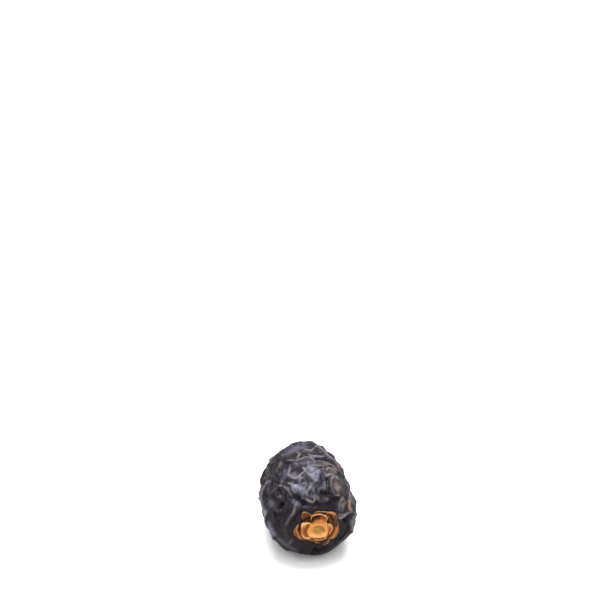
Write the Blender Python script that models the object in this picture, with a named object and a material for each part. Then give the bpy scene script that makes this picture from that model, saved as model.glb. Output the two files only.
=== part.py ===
# Ajwa date lying on its side: wrinkled fruit, outer petal whorl and inner calyx cup.
# Metres, +Z up. The long axis runs along Y, with the stem end at -Y.
# Places on the skin are (turn, reach): degrees round the long axis, 0 at +X and 90 at +Z,
# and millimetres over the unwrinkled skin from the stem end.

import math
from collections import namedtuple

import bmesh
import bpy
import numpy as np

MM = 0.001

# Driving dimensions of the fruit
LENGTH = 30.0 * MM
WIDTH = 21.5 * MM
BLUNTNESS = 3.6
STEM_END_SWELL = 0.06
HEIGHT_RATIO = 0.98
PRESSED_DEPTH = 0.50 * MM

# The stem end: the cap's centre, and the skin's collar round the cap, highest over it
CAP_X = 0.3 * MM
CAP_Z = 0.3 * MM
COLLAR_REACH = 6.9
COLLAR_WIDTH = 1.3
COLLAR_RISE = 0.30 * MM
COLLAR_TOP_RISE = 0.30 * MM

# The cap: how far its layers stand out of the plane of the fruit's stem end
PETAL_THICKNESS = 0.75 * MM
LAYER_GAP = 0.20 * MM
WHORL_RADII = (0.0, 2.2, 3.0, 4.2, 5.2, 6.2)
WHORL_OUTS = (-1.10, -1.10, -0.78, -0.74, -0.84, -1.02)
PETAL_RISE = 0.30 * MM
PLATEAU_OUT = 0.50 * MM
PLATEAU_DOME = 0.10 * MM
CUP_THICKNESS = 0.60 * MM

# Mesh fineness
FRUIT_DIVISIONS = 7
FRUIT_TRIANGLES = 10800
SMOOTHING_ROUNDS = 2
PROFILE_STEPS = 1200

# Relief of the whole skin: crests with hollow flanks that lean towards the stem end
CREST_GAIN = 2.0
FLANK_GAIN = 1.9
CREST_ROUNDING = 0.10 * MM
CREST_LEAN = 0.8
DRAWN_LEVEL = 0.40 * MM
FREE_LEVEL = 0.60 * MM
LOBE_RISE = 0.35 * MM
LOBE_WAVELENGTH = 11.0 * MM

# Meandering folds on the skin that has no strokes of its own: height, wavelength of the field
# whose zero lines they follow, width as a share of the field, seed, stretch along the date,
# and how much they fade out in places
Folds = namedtuple("Folds", "height wavelength width seed stretch patchiness")
BIG_FOLDS = Folds(1.05 * MM, 6.0 * MM, 0.42, 61, 1.7, 0.50)
SMALL_FOLDS = Folds(0.60 * MM, 3.5 * MM, 0.45, 83, 1.3, 0.60)

# A stroke is a line over the skin, a spot is a round place on it; sizes in millimetres
Stroke = namedtuple("Stroke", "size width route")
Spot = namedtuple("Spot", "size radius turn reach")

CRESTS = (
    # Upper back
    Stroke(0.50, 0.55, ((71, 28.6), (65, 27.6), (61.5, 25.8), (60, 24.6), (54.5, 24.1), (48, 23.8),
                        (42, 23.7), (38, 22.6))),
    Stroke(0.42, 0.45, ((114, 23.2), (109, 22.7), (104, 21.6), (99.5, 21.9), (95, 22), (91, 22.5),
                        (86, 22.3), (81, 21.6))),
    Stroke(0.38, 0.50, ((86, 24), (81, 23), (76, 22.9), (70, 23.3), (66, 24))),
    Stroke(0.36, 0.45, ((99, 25.6), (96, 24.6), (99.5, 23.3))),
    Stroke(0.35, 0.50, ((88, 26.4), (79, 26.3), (74, 27.5), (71, 28.7))),
    Stroke(0.40, 0.70, ((137, 28), (128, 29), (120, 29.6), (112, 29.8), (104, 30))),
    # Lens-shaped facet on the crown
    Stroke(0.40, 0.45, ((87, 18.6), (84.5, 18), (78, 18.2), (72, 18.4), (68, 18.8))),
    Stroke(0.30, 0.45, ((85, 19.2), (82, 20.3), (76, 21), (70, 21.3), (64, 21))),
    Stroke(0.32, 0.40, ((66, 20), (62, 20.4), (58, 20.6), (54, 20.2))),
    Stroke(0.42, 0.50, ((68, 17.6), (65, 18.2), (61, 18), (57, 18.3), (54, 18.9), (49.5, 19),
                        (43, 19.4), (38, 19.6))),
    # Pale kite-shaped facet
    Stroke(0.42, 0.45, ((98, 17.6), (96, 16), (93, 14.6), (90, 13.6), (86.5, 12.4))),
    Stroke(0.38, 0.40, ((90, 14.6), (86.5, 15), (82, 15.5), (79, 16.4), (75.5, 17.1), (72, 17.6))),
    Stroke(0.30, 0.40, ((86.5, 12.4), (84.5, 13.1), (81.5, 14.2), (81, 15.5))),
    Stroke(0.30, 0.40, ((89, 20.2), (90.3, 19), (91.5, 17.6), (94, 16.9), (97, 17.2))),
    # Right flank, round the large round hollow
    Stroke(0.45, 0.45, ((77, 16.2), (75.5, 15.6), (73.5, 14.9), (71.5, 14.3), (68.5, 14.9),
                        (64.5, 15.4), (59, 15.3), (56, 14.8))),
    Stroke(0.40, 0.50, ((63, 14.6), (65.5, 13.4), (65.5, 11.8), (63, 10.4), (57, 9.8), (51, 10.2))),
    Stroke(0.25, 0.35, ((74, 12.4), (73.5, 11.5), (73.5, 10))),
    Stroke(0.40, 0.45, ((36, 15), (34, 13.5), (32.5, 12), (29, 10.9), (24, 10), (20, 9.8))),
    Stroke(0.25, 0.35, ((27, 12.6), (23, 11.4), (19, 11))),
    Stroke(0.28, 0.30, ((34, 10), (41, 10.1), (44.5, 9), (43, 7.8), (38, 6.9), (33.5, 7.4),
                        (32.5, 8.6), (34, 10))),
    Stroke(0.42, 0.40, ((33, 5.4), (25, 5.9), (21.5, 7.3), (18, 9), (16, 10.4))),
    Stroke(0.40, 0.45, ((12, 12), (8, 11.8), (2, 10.8), (-10, 9.8), (-18, 10.3), (-24, 11.4))),
    # Left of the crown
    Stroke(0.48, 0.40, ((115.5, 16), (114, 15.3), (111, 14.6), (106.5, 14.6), (103.5, 15.2),
                        (101, 15.5), (98.5, 15.9))),
    Stroke(0.25, 0.30, ((107.5, 13.4), (105.5, 14), (102.5, 14.1))),
    Stroke(0.42, 0.50, ((118, 17), (116, 17.8), (114, 19), (112.5, 19.9), (112, 21))),
    Stroke(0.45, 0.50, ((131, 22), (129, 22.5), (124, 23.5), (122, 24.4))),
    Stroke(0.35, 0.50, ((121, 14.2), (118, 13.5), (120, 12), (119, 11))),
    Stroke(0.30, 0.45, ((128, 14), (127, 12.7), (125, 11.6))),
    Stroke(0.30, 0.35, ((134, 15.6), (132, 15.4), (130, 15.3))),
    # Edges of the glossy lobe above the cap
    Stroke(0.35, 0.40, ((104, 8), (103, 9), (101.5, 9.8), (99.5, 10.2), (96, 10.8), (92, 11.6),
                        (88, 12.3))),
    Stroke(0.38, 0.45, ((112, 8.8), (107, 8.1), (103, 7.6), (97, 7.1), (92.5, 7.4), (91, 8.8))),
    Stroke(0.25, 0.50, ((88, 9.2), (87, 8), (84, 7.2), (78, 7), (71, 7.2), (68, 8.4))),
    # Left flank
    Stroke(0.55, 0.70, ((168, 22.5), (171, 19.3), (171.5, 17), (174, 15.5), (178, 14.5),
                        (183, 14.3), (188.5, 13.4), (190, 12.2), (195, 11.8), (201, 12.2),
                        (208, 13.2))),
    Stroke(0.42, 0.55, ((128, 7.9), (134, 7.2), (138.5, 6.9), (147.5, 7), (157, 6.9),
                        (165.5, 7.1))),
    Stroke(0.25, 0.40, ((202, 6), (209, 6.9), (214, 7.6))),
)

CREASES = (
    Stroke(0.35, 0.45, ((86, 19.4), (83, 21.2), (76, 21.9), (68, 22.2), (60, 22.6), (53, 22.3),
                        (46, 22), (40, 21.2))),
    Stroke(0.25, 0.35, ((96, 23.2), (90, 23.5), (84, 23.3))),
    Stroke(0.25, 0.40, ((100, 20.8), (94, 20.9), (88, 21.2))),
    Stroke(0.45, 0.50, ((129, 13), (127.5, 12.3), (124.5, 11.3), (122, 10.4), (119, 9.6),
                        (116, 8.8), (112, 7.6))),
    Stroke(0.22, 0.50, ((113, 7.1), (103, 6.6), (97, 6.2), (91, 6.4))),
    Stroke(0.30, 0.45, ((90.5, 11.5), (90, 10), (89.5, 8.5))),
    Stroke(0.30, 0.50, ((69, 13.4), (70, 11.6), (69, 9.4))),
    Stroke(0.40, 0.50, ((136.5, 11.7), (139, 10.8), (145, 11), (151, 10.6), (156, 11.2))),
    Stroke(0.28, 0.60, ((124, 5.9), (135, 5.8), (147, 5.8), (160, 5.8), (168, 6))),
    Stroke(0.30, 0.50, ((14, 6.6), (9, 7.8), (8, 9.2))),
    Stroke(0.45, 0.50, ((-33, 7.2), (-26, 7.7), (-17.5, 8), (-8, 8.7), (0, 9.6))),
    Stroke(0.55, 0.60, ((-93, 6), (-95, 8), (-98, 10.5))),
    Stroke(0.30, 0.40, ((75, 17.4), (70, 17.5), (66, 16.9), (60, 16.8))),
    Stroke(0.30, 0.40, ((112, 13.6), (108, 13.2), (105, 13.2))),
)

HOLLOWS = (
    Spot(0.45, 2.1, 57, 12.4),
    Spot(0.20, 1.2, 101, 12.9),
    Spot(0.15, 0.8, 38, 8.6),
    Spot(0.50, 3.4, 36, 17),
    Spot(0.70, 5.0, 26, 21.0),
    Spot(0.40, 0.8, 136.5, 17.5),
    Spot(0.60, 1.3, 151, 14.4),
    Spot(0.30, 0.7, 109, 18.2),
    Spot(0.35, 0.7, 131.5, 21.8),
    Spot(0.30, 0.6, 112.5, 21.4),
    Spot(0.30, 0.6, 124.5, 15.7),
    Spot(0.40, 1.5, 168, 25),
    Spot(0.40, 1.6, 186, 17),
    Spot(0.35, 1.8, 172, 9.2),
    Spot(0.35, 1.6, 10, 7.8),
    Spot(0.25, 1.6, 91, 15.6),
    Spot(0.60, 3.2, 22, 21.5),
    Spot(0.60, 3.2, 187, 22.5),
    Spot(0.30, 2.5, 214, 13.8),
    Spot(0.45, 3.5, 110, 32.2),
    Spot(0.40, 1.8, 334, 12.1),
    Spot(0.90, 3.2, 245, 11.4),
)

BUMPS = (
    Spot(0.30, 4.5, 191, 16.5),
    Spot(0.20, 2.2, 183, 18),
    Spot(0.50, 6.0, 92, 32),
    Spot(0.40, 4.5, 72, 30.5),
    Spot(0.70, 2.6, 58, 30.7),
    Spot(0.75, 3.0, 167, 29.3),
    Spot(0.50, 2.2, 172, 28.3),
    Spot(0.40, 2.4, 9, 15.6),
    Spot(0.45, 5.0, 284, 12.5),
    Spot(0.35, 3.0, 109, 10.3),
    Spot(0.25, 2.4, 80, 10.5),
    Spot(0.35, 0.8, 130.5, 17.1),
    Spot(0.30, 0.7, 125, 14.7),
    Spot(0.35, 0.8, 138.5, 20.5),
    Spot(0.35, 0.8, 150, 18),
    Spot(0.40, 0.9, 148, 15.8),
    Spot(0.35, 1.0, 107, 19.1),
    Spot(0.30, 0.8, 103, 18.4),
    Spot(0.30, 0.9, 98.5, 19.5),
    Spot(0.30, 1.2, 158, 13.2),
    Spot(0.30, 0.6, 161, 11.9),
    Spot(0.20, 0.6, 3, 7.7),
    Spot(0.30, 0.7, 128, 8),
)

# Short radial puckers of the skin under the cap: turns, and where they start and end
PUCKER_TURNS = (222, 231, 241, 252, 262, 273, 284, 297, 309)
PUCKER_START = 4.9
PUCKER_END = 7.6
PUCKER_RISE = 0.16
PUCKER_WIDTH = 0.34

# The skin that the strokes and spots above cover: its turns, and how far it runs along the
# crown and along the flanks; and where the meandering folds of the other skin start
DRAWN_TURNS = (8.0, 205.0)
DRAWN_END = 30.0 * MM
DRAWN_FLANK_END = 18.0 * MM
FREE_START = (10.5 * MM, 15.5 * MM)

# The cap's outline, as (turn, radius in mm) about its centre
WHORL_OUTLINE = (
    (-9, 5.1), (6, 4.92), (26, 5.0), (39, 5.47), (51, 5.2), (60, 4.8), (75, 4.52), (92, 4.5),
    (101, 4.3), (109, 3.97), (114, 4.4), (121, 5.3), (127, 5.68), (134, 5.4), (142, 4.75),
    (151, 4.35), (162, 4.75), (176, 5.3), (187, 5.7), (198, 5.55), (208, 5.1), (219, 4.5),
    (228, 4.1), (240, 3.8), (252, 3.8), (266, 4.15), (282, 4.85), (294, 5.08), (305, 4.7),
    (311, 4.3), (316, 4.75), (325, 5.2), (338, 5.22),
)
WHORL_SEAMS = (110, 222, 309)
SEAM_STEP = 0.26 * MM
WHORL_RINGS = 12
WHORL_SPOKES = 88
# The petals' least thickness, in the floors of their folds
PETAL_LEAST = 0.62 * MM

# Valleys and raised bands of the petals: rise and half width in mm, and a route of
# (turn, radius in mm) about the cap's centre
Fold = namedtuple("Fold", "rise width route")
PETAL_FOLDS = (
    Fold(-0.28, 0.36, ((54, 4.2), (45, 4.2), (27, 3.85), (6, 3.7), (-15, 3.8), (-32, 3.8), (-47, 3.7))),
    Fold(0.20, 0.38, ((-6, 4.4), (-21, 4.35), (-36, 4.45), (-46, 4.2))),
    Fold(0.15, 0.30, ((58, 4.6), (46, 5.0), (36, 5.0))),
    Fold(-0.15, 0.32, ((106, 3.9), (96, 4.05), (82, 3.95), (66, 4.1))),
    Fold(-0.35, 0.46, ((150, 4.3), (141, 3.6), (125, 3.1))),
    Fold(-0.35, 0.34, ((109, 3.6), (109, 4.6))),
    Fold(-0.25, 0.34, ((158, 4.25), (168, 4.3), (182, 4.35), (198, 4.2), (211, 4.1))),
    Fold(0.15, 0.30, ((168, 4.8), (181, 4.95), (195, 4.75), (210, 4.5))),
    Fold(-0.25, 0.44, ((302, 3.6), (294, 4.15), (283, 4.3))),
    Fold(0.12, 0.30, ((232, 3.7), (248, 3.4), (262, 3.8))),
)

# The cup's outline, as (turn, radius in mm) about the cap's centre
CUP_OUTLINE = (
    (-42, 2.84), (-26, 2.98), (-10, 3.14), (4, 3.38), (18, 3.29), (28, 3.02), (37, 2.55), (45, 2.62),
    (51, 3.20), (57, 3.74), (65, 4.11), (76, 4.29), (89, 4.36), (101, 4.42), (111, 4.21), (119, 3.77),
    (127, 3.12), (134, 2.96), (141, 3.72), (149, 4.44), (156, 4.46), (166, 4.12), (181, 4.05),
    (196, 3.98), (210, 3.62), (222, 2.96), (231, 2.42), (244, 2.42), (259, 2.70), (279, 2.84),
    (296, 2.96), (308, 2.92),
)
# Lobes of the cup's face: turn and half-width in degrees, radius of the raised middle, middle
# and half width of the pocket, and heights of pocket, band and lip, in millimetres
Lobe = namedtuple("Lobe", "turn half_width plateau groove groove_width groove_out band_out lip_out")
LOBES = (
    Lobe(100, 26, 2.90, 3.35, 0.62, -0.30, 0.20, 0.62),
    Lobe(66, 12, 2.65, 3.35, 0.55, -0.15, 0.25, 0.62),
    Lobe(46, 8, 2.25, 2.85, 0.40, 0.05, 0.10, 0.25),
    Lobe(18, 12, 2.20, 2.60, 0.25, 0.20, 0.34, 0.52),
    Lobe(-10, 20, 2.24, 2.65, 0.35, 0.10, 0.22, 0.38),
    Lobe(-88, 36, 2.05, 2.32, 0.24, 0.05, 0.28, 0.40),
    Lobe(152, 11, 2.50, 2.85, 0.30, 0.10, 0.50, 0.62),
    Lobe(178, 17, 2.60, 3.05, 0.34, -0.05, 0.35, 0.42),
    Lobe(209, 16, 2.45, 3.00, 0.28, 0.05, 0.40, 0.50),
)
CUP_LIP = 0.24 * MM
SCAR_WIDTH = 2.9 * MM
SCAR_HEIGHT = 2.1 * MM
SCAR_DEPTH = 0.22 * MM
SCAR_RINGS = 2.6
CUP_RINGS = 22
CUP_SPOKES = 84
BACK_RINGS = 7


def clear_scene():
    for old in list(bpy.data.objects):
        bpy.data.objects.remove(old, do_unlink=True)


def principled(name, colour, roughness, metallic=0.0):
    material = bpy.data.materials.new(name)
    material.use_nodes = True
    shader = material.node_tree.nodes["Principled BSDF"]
    shader.inputs["Base Color"].default_value = (*colour, 1.0)
    shader.inputs["Roughness"].default_value = roughness
    shader.inputs["Metallic"].default_value = metallic
    return material


def profile():
    """Places along the axis and radii, against the way over the skin from the stem end."""
    angle = np.linspace(0.0, math.pi, PROFILE_STEPS)
    axial = -np.sign(np.cos(angle)) * np.abs(np.cos(angle)) ** (2.0 / BLUNTNESS)
    radius = 0.5 * WIDTH * np.sin(angle) * (1.0 - STEM_END_SWELL * axial)
    along = 0.5 * LENGTH * axial
    step = np.hypot(np.diff(along), np.diff(radius))
    reach = np.concatenate(([0.0], np.cumsum(step)))
    return reach, along, radius


REACH, ALONG, RADIUS = profile()


def skin_points(turns, reaches):
    """Points of the unwrinkled skin from turns in degrees and reaches in metres."""
    angle = np.radians(np.asarray(turns, dtype=float))
    along = np.interp(reaches, REACH, ALONG)
    radius = np.interp(reaches, REACH, RADIUS)
    return np.stack((radius * np.cos(angle), along, radius * np.sin(angle) * HEIGHT_RATIO), axis=-1)


def skin_normals(turns, reaches):
    """Outward normals of the unwrinkled skin."""
    step = 0.05 * MM
    low = np.clip(reaches - step, 0.0, REACH[-1])
    high = np.clip(reaches + step, 0.0, REACH[-1])
    along = np.interp(high, REACH, ALONG) - np.interp(low, REACH, ALONG)
    radius = np.interp(high, REACH, RADIUS) - np.interp(low, REACH, RADIUS)
    angle = np.radians(turns)
    normal = np.stack((along * np.cos(angle), -radius, along * np.sin(angle)), axis=-1)
    return normal / np.linalg.norm(normal, axis=-1, keepdims=True)


def reach_on_ball(polar):
    """Reach that shares out the skin's area as a ball shares its own, for even faces."""
    ring = 0.5 * (RADIUS[1:] + RADIUS[:-1]) * np.diff(REACH)
    area = np.concatenate(([0.0], np.cumsum(ring)))
    share = 0.5 * (1.0 - np.cos(polar))
    return np.interp(share, area / area[-1], REACH)


def smooth_step(low, high, value):
    part = np.clip((value - low) / (high - low), 0.0, 1.0)
    return part * part * (3.0 - 2.0 * part)


def route_points(stroke):
    """The corners of a stroke on the skin."""
    turns = np.array([turn for turn, reach in stroke.route], dtype=float)
    reaches = np.array([reach for turn, reach in stroke.route]) * MM
    return skin_points(turns, reaches)


def distance_to_route(points, corners):
    """Distance from each point to a line through the corners."""
    nearest = np.full(len(points), 1.0)
    for start, end in zip(corners[:-1], corners[1:]):
        way = end - start
        part = np.clip((points - start) @ way / (way @ way), 0.0, 1.0)
        offset = points - start - part[:, None] * way
        nearest = np.minimum(nearest, np.linalg.norm(offset, axis=1))
    return nearest


def crest_shape(distance, width):
    """A crest with a rounded top and hollow flanks."""
    run = np.sqrt(distance ** 2 + CREST_ROUNDING ** 2) - CREST_ROUNDING
    return np.exp(-run / width)


def pucker_strokes():
    return [Stroke(PUCKER_RISE, PUCKER_WIDTH, ((turn, PUCKER_START), (turn + 3, PUCKER_END)))
            for turn in PUCKER_TURNS]


def waves(points, wavelength, count, seed):
    """A smooth random field of about -1 to 1, from a few plane waves."""
    draw = np.random.default_rng(seed)
    total = np.zeros(len(points))
    for _ in range(count):
        direction = draw.normal(size=3)
        direction /= np.linalg.norm(direction)
        pitch = wavelength * draw.uniform(0.75, 1.35)
        total += np.sin(points @ direction * (2.0 * math.pi / pitch) + draw.uniform(0.0, 6.28))
    return total / math.sqrt(count)


def fold_crests(points, folds):
    """Crests along the zero lines of a smooth random field, each stretch with its own height."""
    drift = np.stack([waves(points, 1.6 * folds.wavelength, 7, folds.seed + 1 + axis)
                      for axis in range(3)], axis=-1)
    squeeze = np.array([1.0, 1.0 / folds.stretch, 1.0])
    value = waves((points + 0.16 * folds.wavelength * drift) * squeeze, folds.wavelength, 16, folds.seed)
    rounding = 0.25 * folds.width
    crests = np.exp(-(np.sqrt(value ** 2 + rounding ** 2) - rounding) / folds.width)
    strength = smooth_step(-1.1, 1.0, waves(points, 1.3 * folds.wavelength, 7, folds.seed + 7))
    return folds.height * crests * (1.0 - folds.patchiness * (1.0 - strength))


def drawn_share(turns, reaches):
    """1 where the strokes and spots make the relief, 0 where the meandering folds do."""
    wrapped = (np.asarray(turns) + 90.0) % 360.0 - 90.0
    low, high = DRAWN_TURNS
    share = smooth_step(low - 14.0, low + 8.0, wrapped)
    share *= 1.0 - smooth_step(high - 8.0, high + 14.0, wrapped)
    crown = smooth_step(low + 10.0, low + 42.0, wrapped) * (1.0 - smooth_step(128.0, 158.0, wrapped))
    end = DRAWN_FLANK_END + (DRAWN_END - DRAWN_FLANK_END) * crown
    return share * (1.0 - smooth_step(end - 2.5 * MM, end + 2.5 * MM, reaches))


def spot_shape(points, spot):
    centre = skin_points([spot.turn], np.array([spot.reach * MM]))[0]
    part = np.linalg.norm(points - centre, axis=1) / (spot.radius * MM)
    return np.clip(1.0 - part * part, 0.0, None) ** 2


def cap_polar(points):
    """Turn in degrees and distance of points about the cap's centre, seen along the axis."""
    across = points[:, 0] - CAP_X
    upward = points[:, 2] - CAP_Z
    return np.degrees(np.arctan2(upward, across)), np.hypot(across, upward)


def socket_and_collar(points, turns, reaches):
    """The seat of the cap and the skin's collar round it, as a rise along the normal."""
    cap_turns, radii = cap_polar(points)
    edge = whorl_radius(cap_turns) + 0.25 * MM
    front = points[:, 1] < 0.0
    inside = (1.0 - smooth_step(edge, edge + 0.75 * MM, radii)) * front
    pole_gap = points[:, 1] + 0.5 * LENGTH
    seat = PETAL_THICKNESS + LAYER_GAP - whorl_out(radii) - pole_gap
    round_cap = np.exp(-((reaches / MM - COLLAR_REACH) / COLLAR_WIDTH) ** 2)
    topside = 0.5 + 0.5 * np.sin(np.radians(turns))
    collar = (COLLAR_RISE + COLLAR_TOP_RISE * topside ** 2) * round_cap * front
    return collar * (1.0 - inside) - seat * inside, inside


def skin_relief(points, turns, reaches):
    """Rise of the skin over its plain form, and the crests' share of it."""
    drawn = drawn_share(turns, reaches)
    calm = smooth_step(5.2 * MM, 8.5 * MM, reaches)
    free = (1.0 - drawn) * smooth_step(*FREE_START, reaches)
    crests = (fold_crests(points, BIG_FOLDS) * free) ** 4 + (fold_crests(points, SMALL_FOLDS) * free) ** 4
    for stroke in (*CRESTS, *pucker_strokes()):
        distance = distance_to_route(points, route_points(stroke))
        height = CREST_GAIN * stroke.size * MM
        crests += (height * crest_shape(distance, FLANK_GAIN * stroke.width * MM)) ** 4
    crests = crests ** 0.25
    rise = crests - DRAWN_LEVEL * drawn * calm - FREE_LEVEL * free
    for stroke in CREASES:
        distance = distance_to_route(points, route_points(stroke))
        rise -= CREST_GAIN * stroke.size * MM * np.exp(-(distance / (stroke.width * MM)) ** 2)
    for spot in HOLLOWS:
        rise -= spot.size * MM * spot_shape(points, spot)
    for spot in BUMPS:
        rise += spot.size * MM * spot_shape(points, spot)
    lobes = waves(points, LOBE_WAVELENGTH, 7, 21) * (1.0 - 0.9 * drawn) * calm
    return rise + LOBE_RISE * lobes, crests


def towards_stem(normals):
    """Directions along the skin towards the stem end."""
    return np.array([0.0, -1.0, 0.0]) + normals * normals[:, 1:2]


def make_fruit():
    """The wrinkled flesh: a ball spread over the date's form, raised by its relief."""
    form = bmesh.new()
    bmesh.ops.create_icosphere(form, subdivisions=FRUIT_DIVISIONS, radius=1.0)
    ball = np.array([vertex.co[:] for vertex in form.verts])
    turns = np.degrees(np.arctan2(ball[:, 2], ball[:, 0]))
    reaches = reach_on_ball(np.arccos(np.clip(-ball[:, 1], -1.0, 1.0)))
    points = skin_points(turns, reaches)
    relief, crests = skin_relief(points, turns, reaches)
    seat, inside = socket_and_collar(points, turns, reaches)
    normals = skin_normals(turns, reaches)
    rise = relief * (1.0 - inside) + seat
    lean = CREST_LEAN * crests * (1.0 - inside) * smooth_step(7.0 * MM, 10.0 * MM, reaches)
    raised = points + normals * rise[:, None] + towards_stem(normals) * lean[:, None]
    for vertex, place in zip(form.verts, raised):
        vertex.co = place
    for _ in range(SMOOTHING_ROUNDS):
        bmesh.ops.smooth_vert(form, verts=form.verts, factor=0.5, use_axis_x=True, use_axis_y=True,
                              use_axis_z=True)
    fruit = new_object("date_fruit", form)
    thin_out(fruit, FRUIT_TRIANGLES)
    press_flat(fruit)
    return fruit


def new_object(name, form):
    mesh = bpy.data.meshes.new(name)
    form.to_mesh(mesh)
    form.free()
    made = bpy.data.objects.new(name, mesh)
    bpy.context.collection.objects.link(made)
    return made


def thin_out(piece, triangles):
    """Fewer faces, kept where the relief bends most."""
    thinner = piece.modifiers.new("thinner", "DECIMATE")
    thinner.ratio = triangles / len(piece.data.polygons)
    depsgraph = bpy.context.evaluated_depsgraph_get()
    thinned = bpy.data.meshes.new_from_object(piece.evaluated_get(depsgraph))
    piece.modifiers.remove(thinner)
    dense = piece.data
    piece.data = thinned
    bpy.data.meshes.remove(dense)


def press_flat(fruit):
    """The small flat spot underneath that the fruit's weight has pressed."""
    form = bmesh.new()
    form.from_mesh(fruit.data)
    floor = min(vertex.co.z for vertex in form.verts) + PRESSED_DEPTH
    everything = form.verts[:] + form.edges[:] + form.faces[:]
    cut = bmesh.ops.bisect_plane(form, geom=everything, plane_co=(0.0, 0.0, floor),
                                 plane_no=(0.0, 0.0, -1.0), clear_outer=True)
    rim = [item for item in cut["geom_cut"] if isinstance(item, bmesh.types.BMEdge)]
    bmesh.ops.edgenet_fill(form, edges=rim)
    bmesh.ops.recalc_face_normals(form, faces=form.faces)
    form.to_mesh(fruit.data)
    form.free()


def round_curve(outline, turns):
    """A smooth closed outline's radius at each turn, by cubic pieces through its points."""
    knots = np.array([turn for turn, radius in outline], dtype=float)
    radii = np.array([radius for turn, radius in outline]) * MM
    knots = np.concatenate((knots[-2:] - 360.0, knots, knots[:3] + 360.0))
    radii = np.concatenate((radii[-2:], radii, radii[:3]))
    wrapped = (np.asarray(turns, dtype=float) - outline[0][0]) % 360.0 + outline[0][0]
    index = np.clip(np.searchsorted(knots, wrapped, side="right") - 1, 1, len(knots) - 3)
    width = knots[index + 1] - knots[index]
    part = (wrapped - knots[index]) / width
    slope_in = (radii[index + 1] - radii[index - 1]) / (knots[index + 1] - knots[index - 1]) * width
    slope_out = (radii[index + 2] - radii[index]) / (knots[index + 2] - knots[index]) * width
    square = part * part
    cube = square * part
    return (radii[index] * (2 * cube - 3 * square + 1) + slope_in * (cube - 2 * square + part)
            + radii[index + 1] * (3 * square - 2 * cube) + slope_out * (cube - square))


def whorl_radius(turns):
    return round_curve(WHORL_OUTLINE, turns)


def cup_radius(turns):
    return round_curve(CUP_OUTLINE, turns)


def plate_face(form, rings, turns, edge, height):
    """One face of a plate: its centre, its rings of points, and the faces between them."""
    out = height(np.zeros(1), np.zeros(1), np.ones(1))[0]
    centre = form.verts.new((CAP_X, -0.5 * LENGTH - out, CAP_Z))
    grid = []
    for ring in range(1, rings + 1):
        radii = edge * ring / rings
        across = CAP_X + radii * np.cos(np.radians(turns))
        upward = CAP_Z + radii * np.sin(np.radians(turns))
        outs = height(turns, radii, edge)
        grid.append([form.verts.new(place) for place in zip(across, -0.5 * LENGTH - outs, upward)])
    for here in range(len(turns)):
        after = (here + 1) % len(turns)
        form.faces.new((centre, grid[0][here], grid[0][after]))
        for inner, outer in zip(grid[:-1], grid[1:]):
            form.faces.new((inner[here], outer[here], outer[after], inner[after]))
    return grid[-1]


def turned_plate(name, rings, spokes, outline, top, bottom):
    """A closed plate about the cap's axis, from its outline and the heights of its two faces."""
    form = bmesh.new()
    turns = np.arange(spokes) * 360.0 / spokes
    edge = outline(turns)
    front = plate_face(form, rings, turns, edge, top)
    back = plate_face(form, BACK_RINGS, turns, edge, bottom)
    for here in range(spokes):
        after = (here + 1) % spokes
        form.faces.new((front[here], back[here], back[after], front[after]))
    bmesh.ops.triangulate(form, faces=form.faces)
    bmesh.ops.recalc_face_normals(form, faces=form.faces)
    return new_object(name, form)


def seam_shingle(turns):
    """Each petal climbs from one seam to lie over the next petal at the other."""
    rise = np.zeros(np.shape(turns))
    bounds = (*WHORL_SEAMS, WHORL_SEAMS[0] + 360)
    wrapped = (np.asarray(turns) - WHORL_SEAMS[0]) % 360.0 + WHORL_SEAMS[0]
    for start, end in zip(bounds[:-1], bounds[1:]):
        part = np.clip((wrapped - start) / (end - start), 0.0, 1.0)
        held = (wrapped >= start) & (wrapped < end)
        rise = np.where(held, part ** 3 * (1.0 - smooth_step(0.965, 1.0, part)), rise)
    return rise


def whorl_out(radii):
    """The petals' mean face: dished under the cup, and falling back a little to the rim."""
    return np.interp(radii / MM, WHORL_RADII, WHORL_OUTS) * MM


def fold_share(turns, radii, fold):
    """1 on the line of a petal's fold, fading to its sides."""
    places = np.stack((radii * np.cos(np.radians(turns)), radii * np.sin(np.radians(turns))), axis=-1)
    angles = np.radians([turn for turn, radius in fold.route])
    reaches = np.array([radius for turn, radius in fold.route]) * MM
    corners = np.stack((reaches * np.cos(angles), reaches * np.sin(angles)), axis=-1)
    return np.exp(-(distance_to_route(places, corners) / (fold.width * MM)) ** 2)


def whorl_top(turns, radii, edge):
    """Outward height of the petals, folded and overlapping at their seams."""
    cup = cup_radius(turns)
    outer = smooth_step(cup + 0.1 * MM, cup + 0.7 * MM, radii)
    height = whorl_out(radii) + PETAL_RISE * outer
    for fold in PETAL_FOLDS:
        height += fold.rise * MM * fold_share(turns, radii, fold) * outer
    height += SEAM_STEP * seam_shingle(turns) * smooth_step(0.5, 0.85, radii / edge)
    return np.maximum(height, whorl_out(radii) - PETAL_THICKNESS + PETAL_LEAST)


def whorl_bottom(turns, radii, edge):
    """The whorl's plain back, a layer gap clear of the socket."""
    return whorl_out(radii) - PETAL_THICKNESS


def cup_bottom(turns, radii, edge):
    """The cup's back, a layer gap clear of the petals under it."""
    return whorl_top(turns, radii, whorl_radius(turns)) + LAYER_GAP


def lobe_blend(turns, name):
    """One measure of the cup's lobes, blended from lobe to lobe."""
    total = np.zeros(np.shape(turns))
    weight = np.full(np.shape(turns), 1e-9)
    for lobe in LOBES:
        away = (turns - lobe.turn + 180.0) % 360.0 - 180.0
        share = np.exp(-(away / lobe.half_width) ** 2)
        total += share * getattr(lobe, name)
        weight += share
    return total / weight


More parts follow.
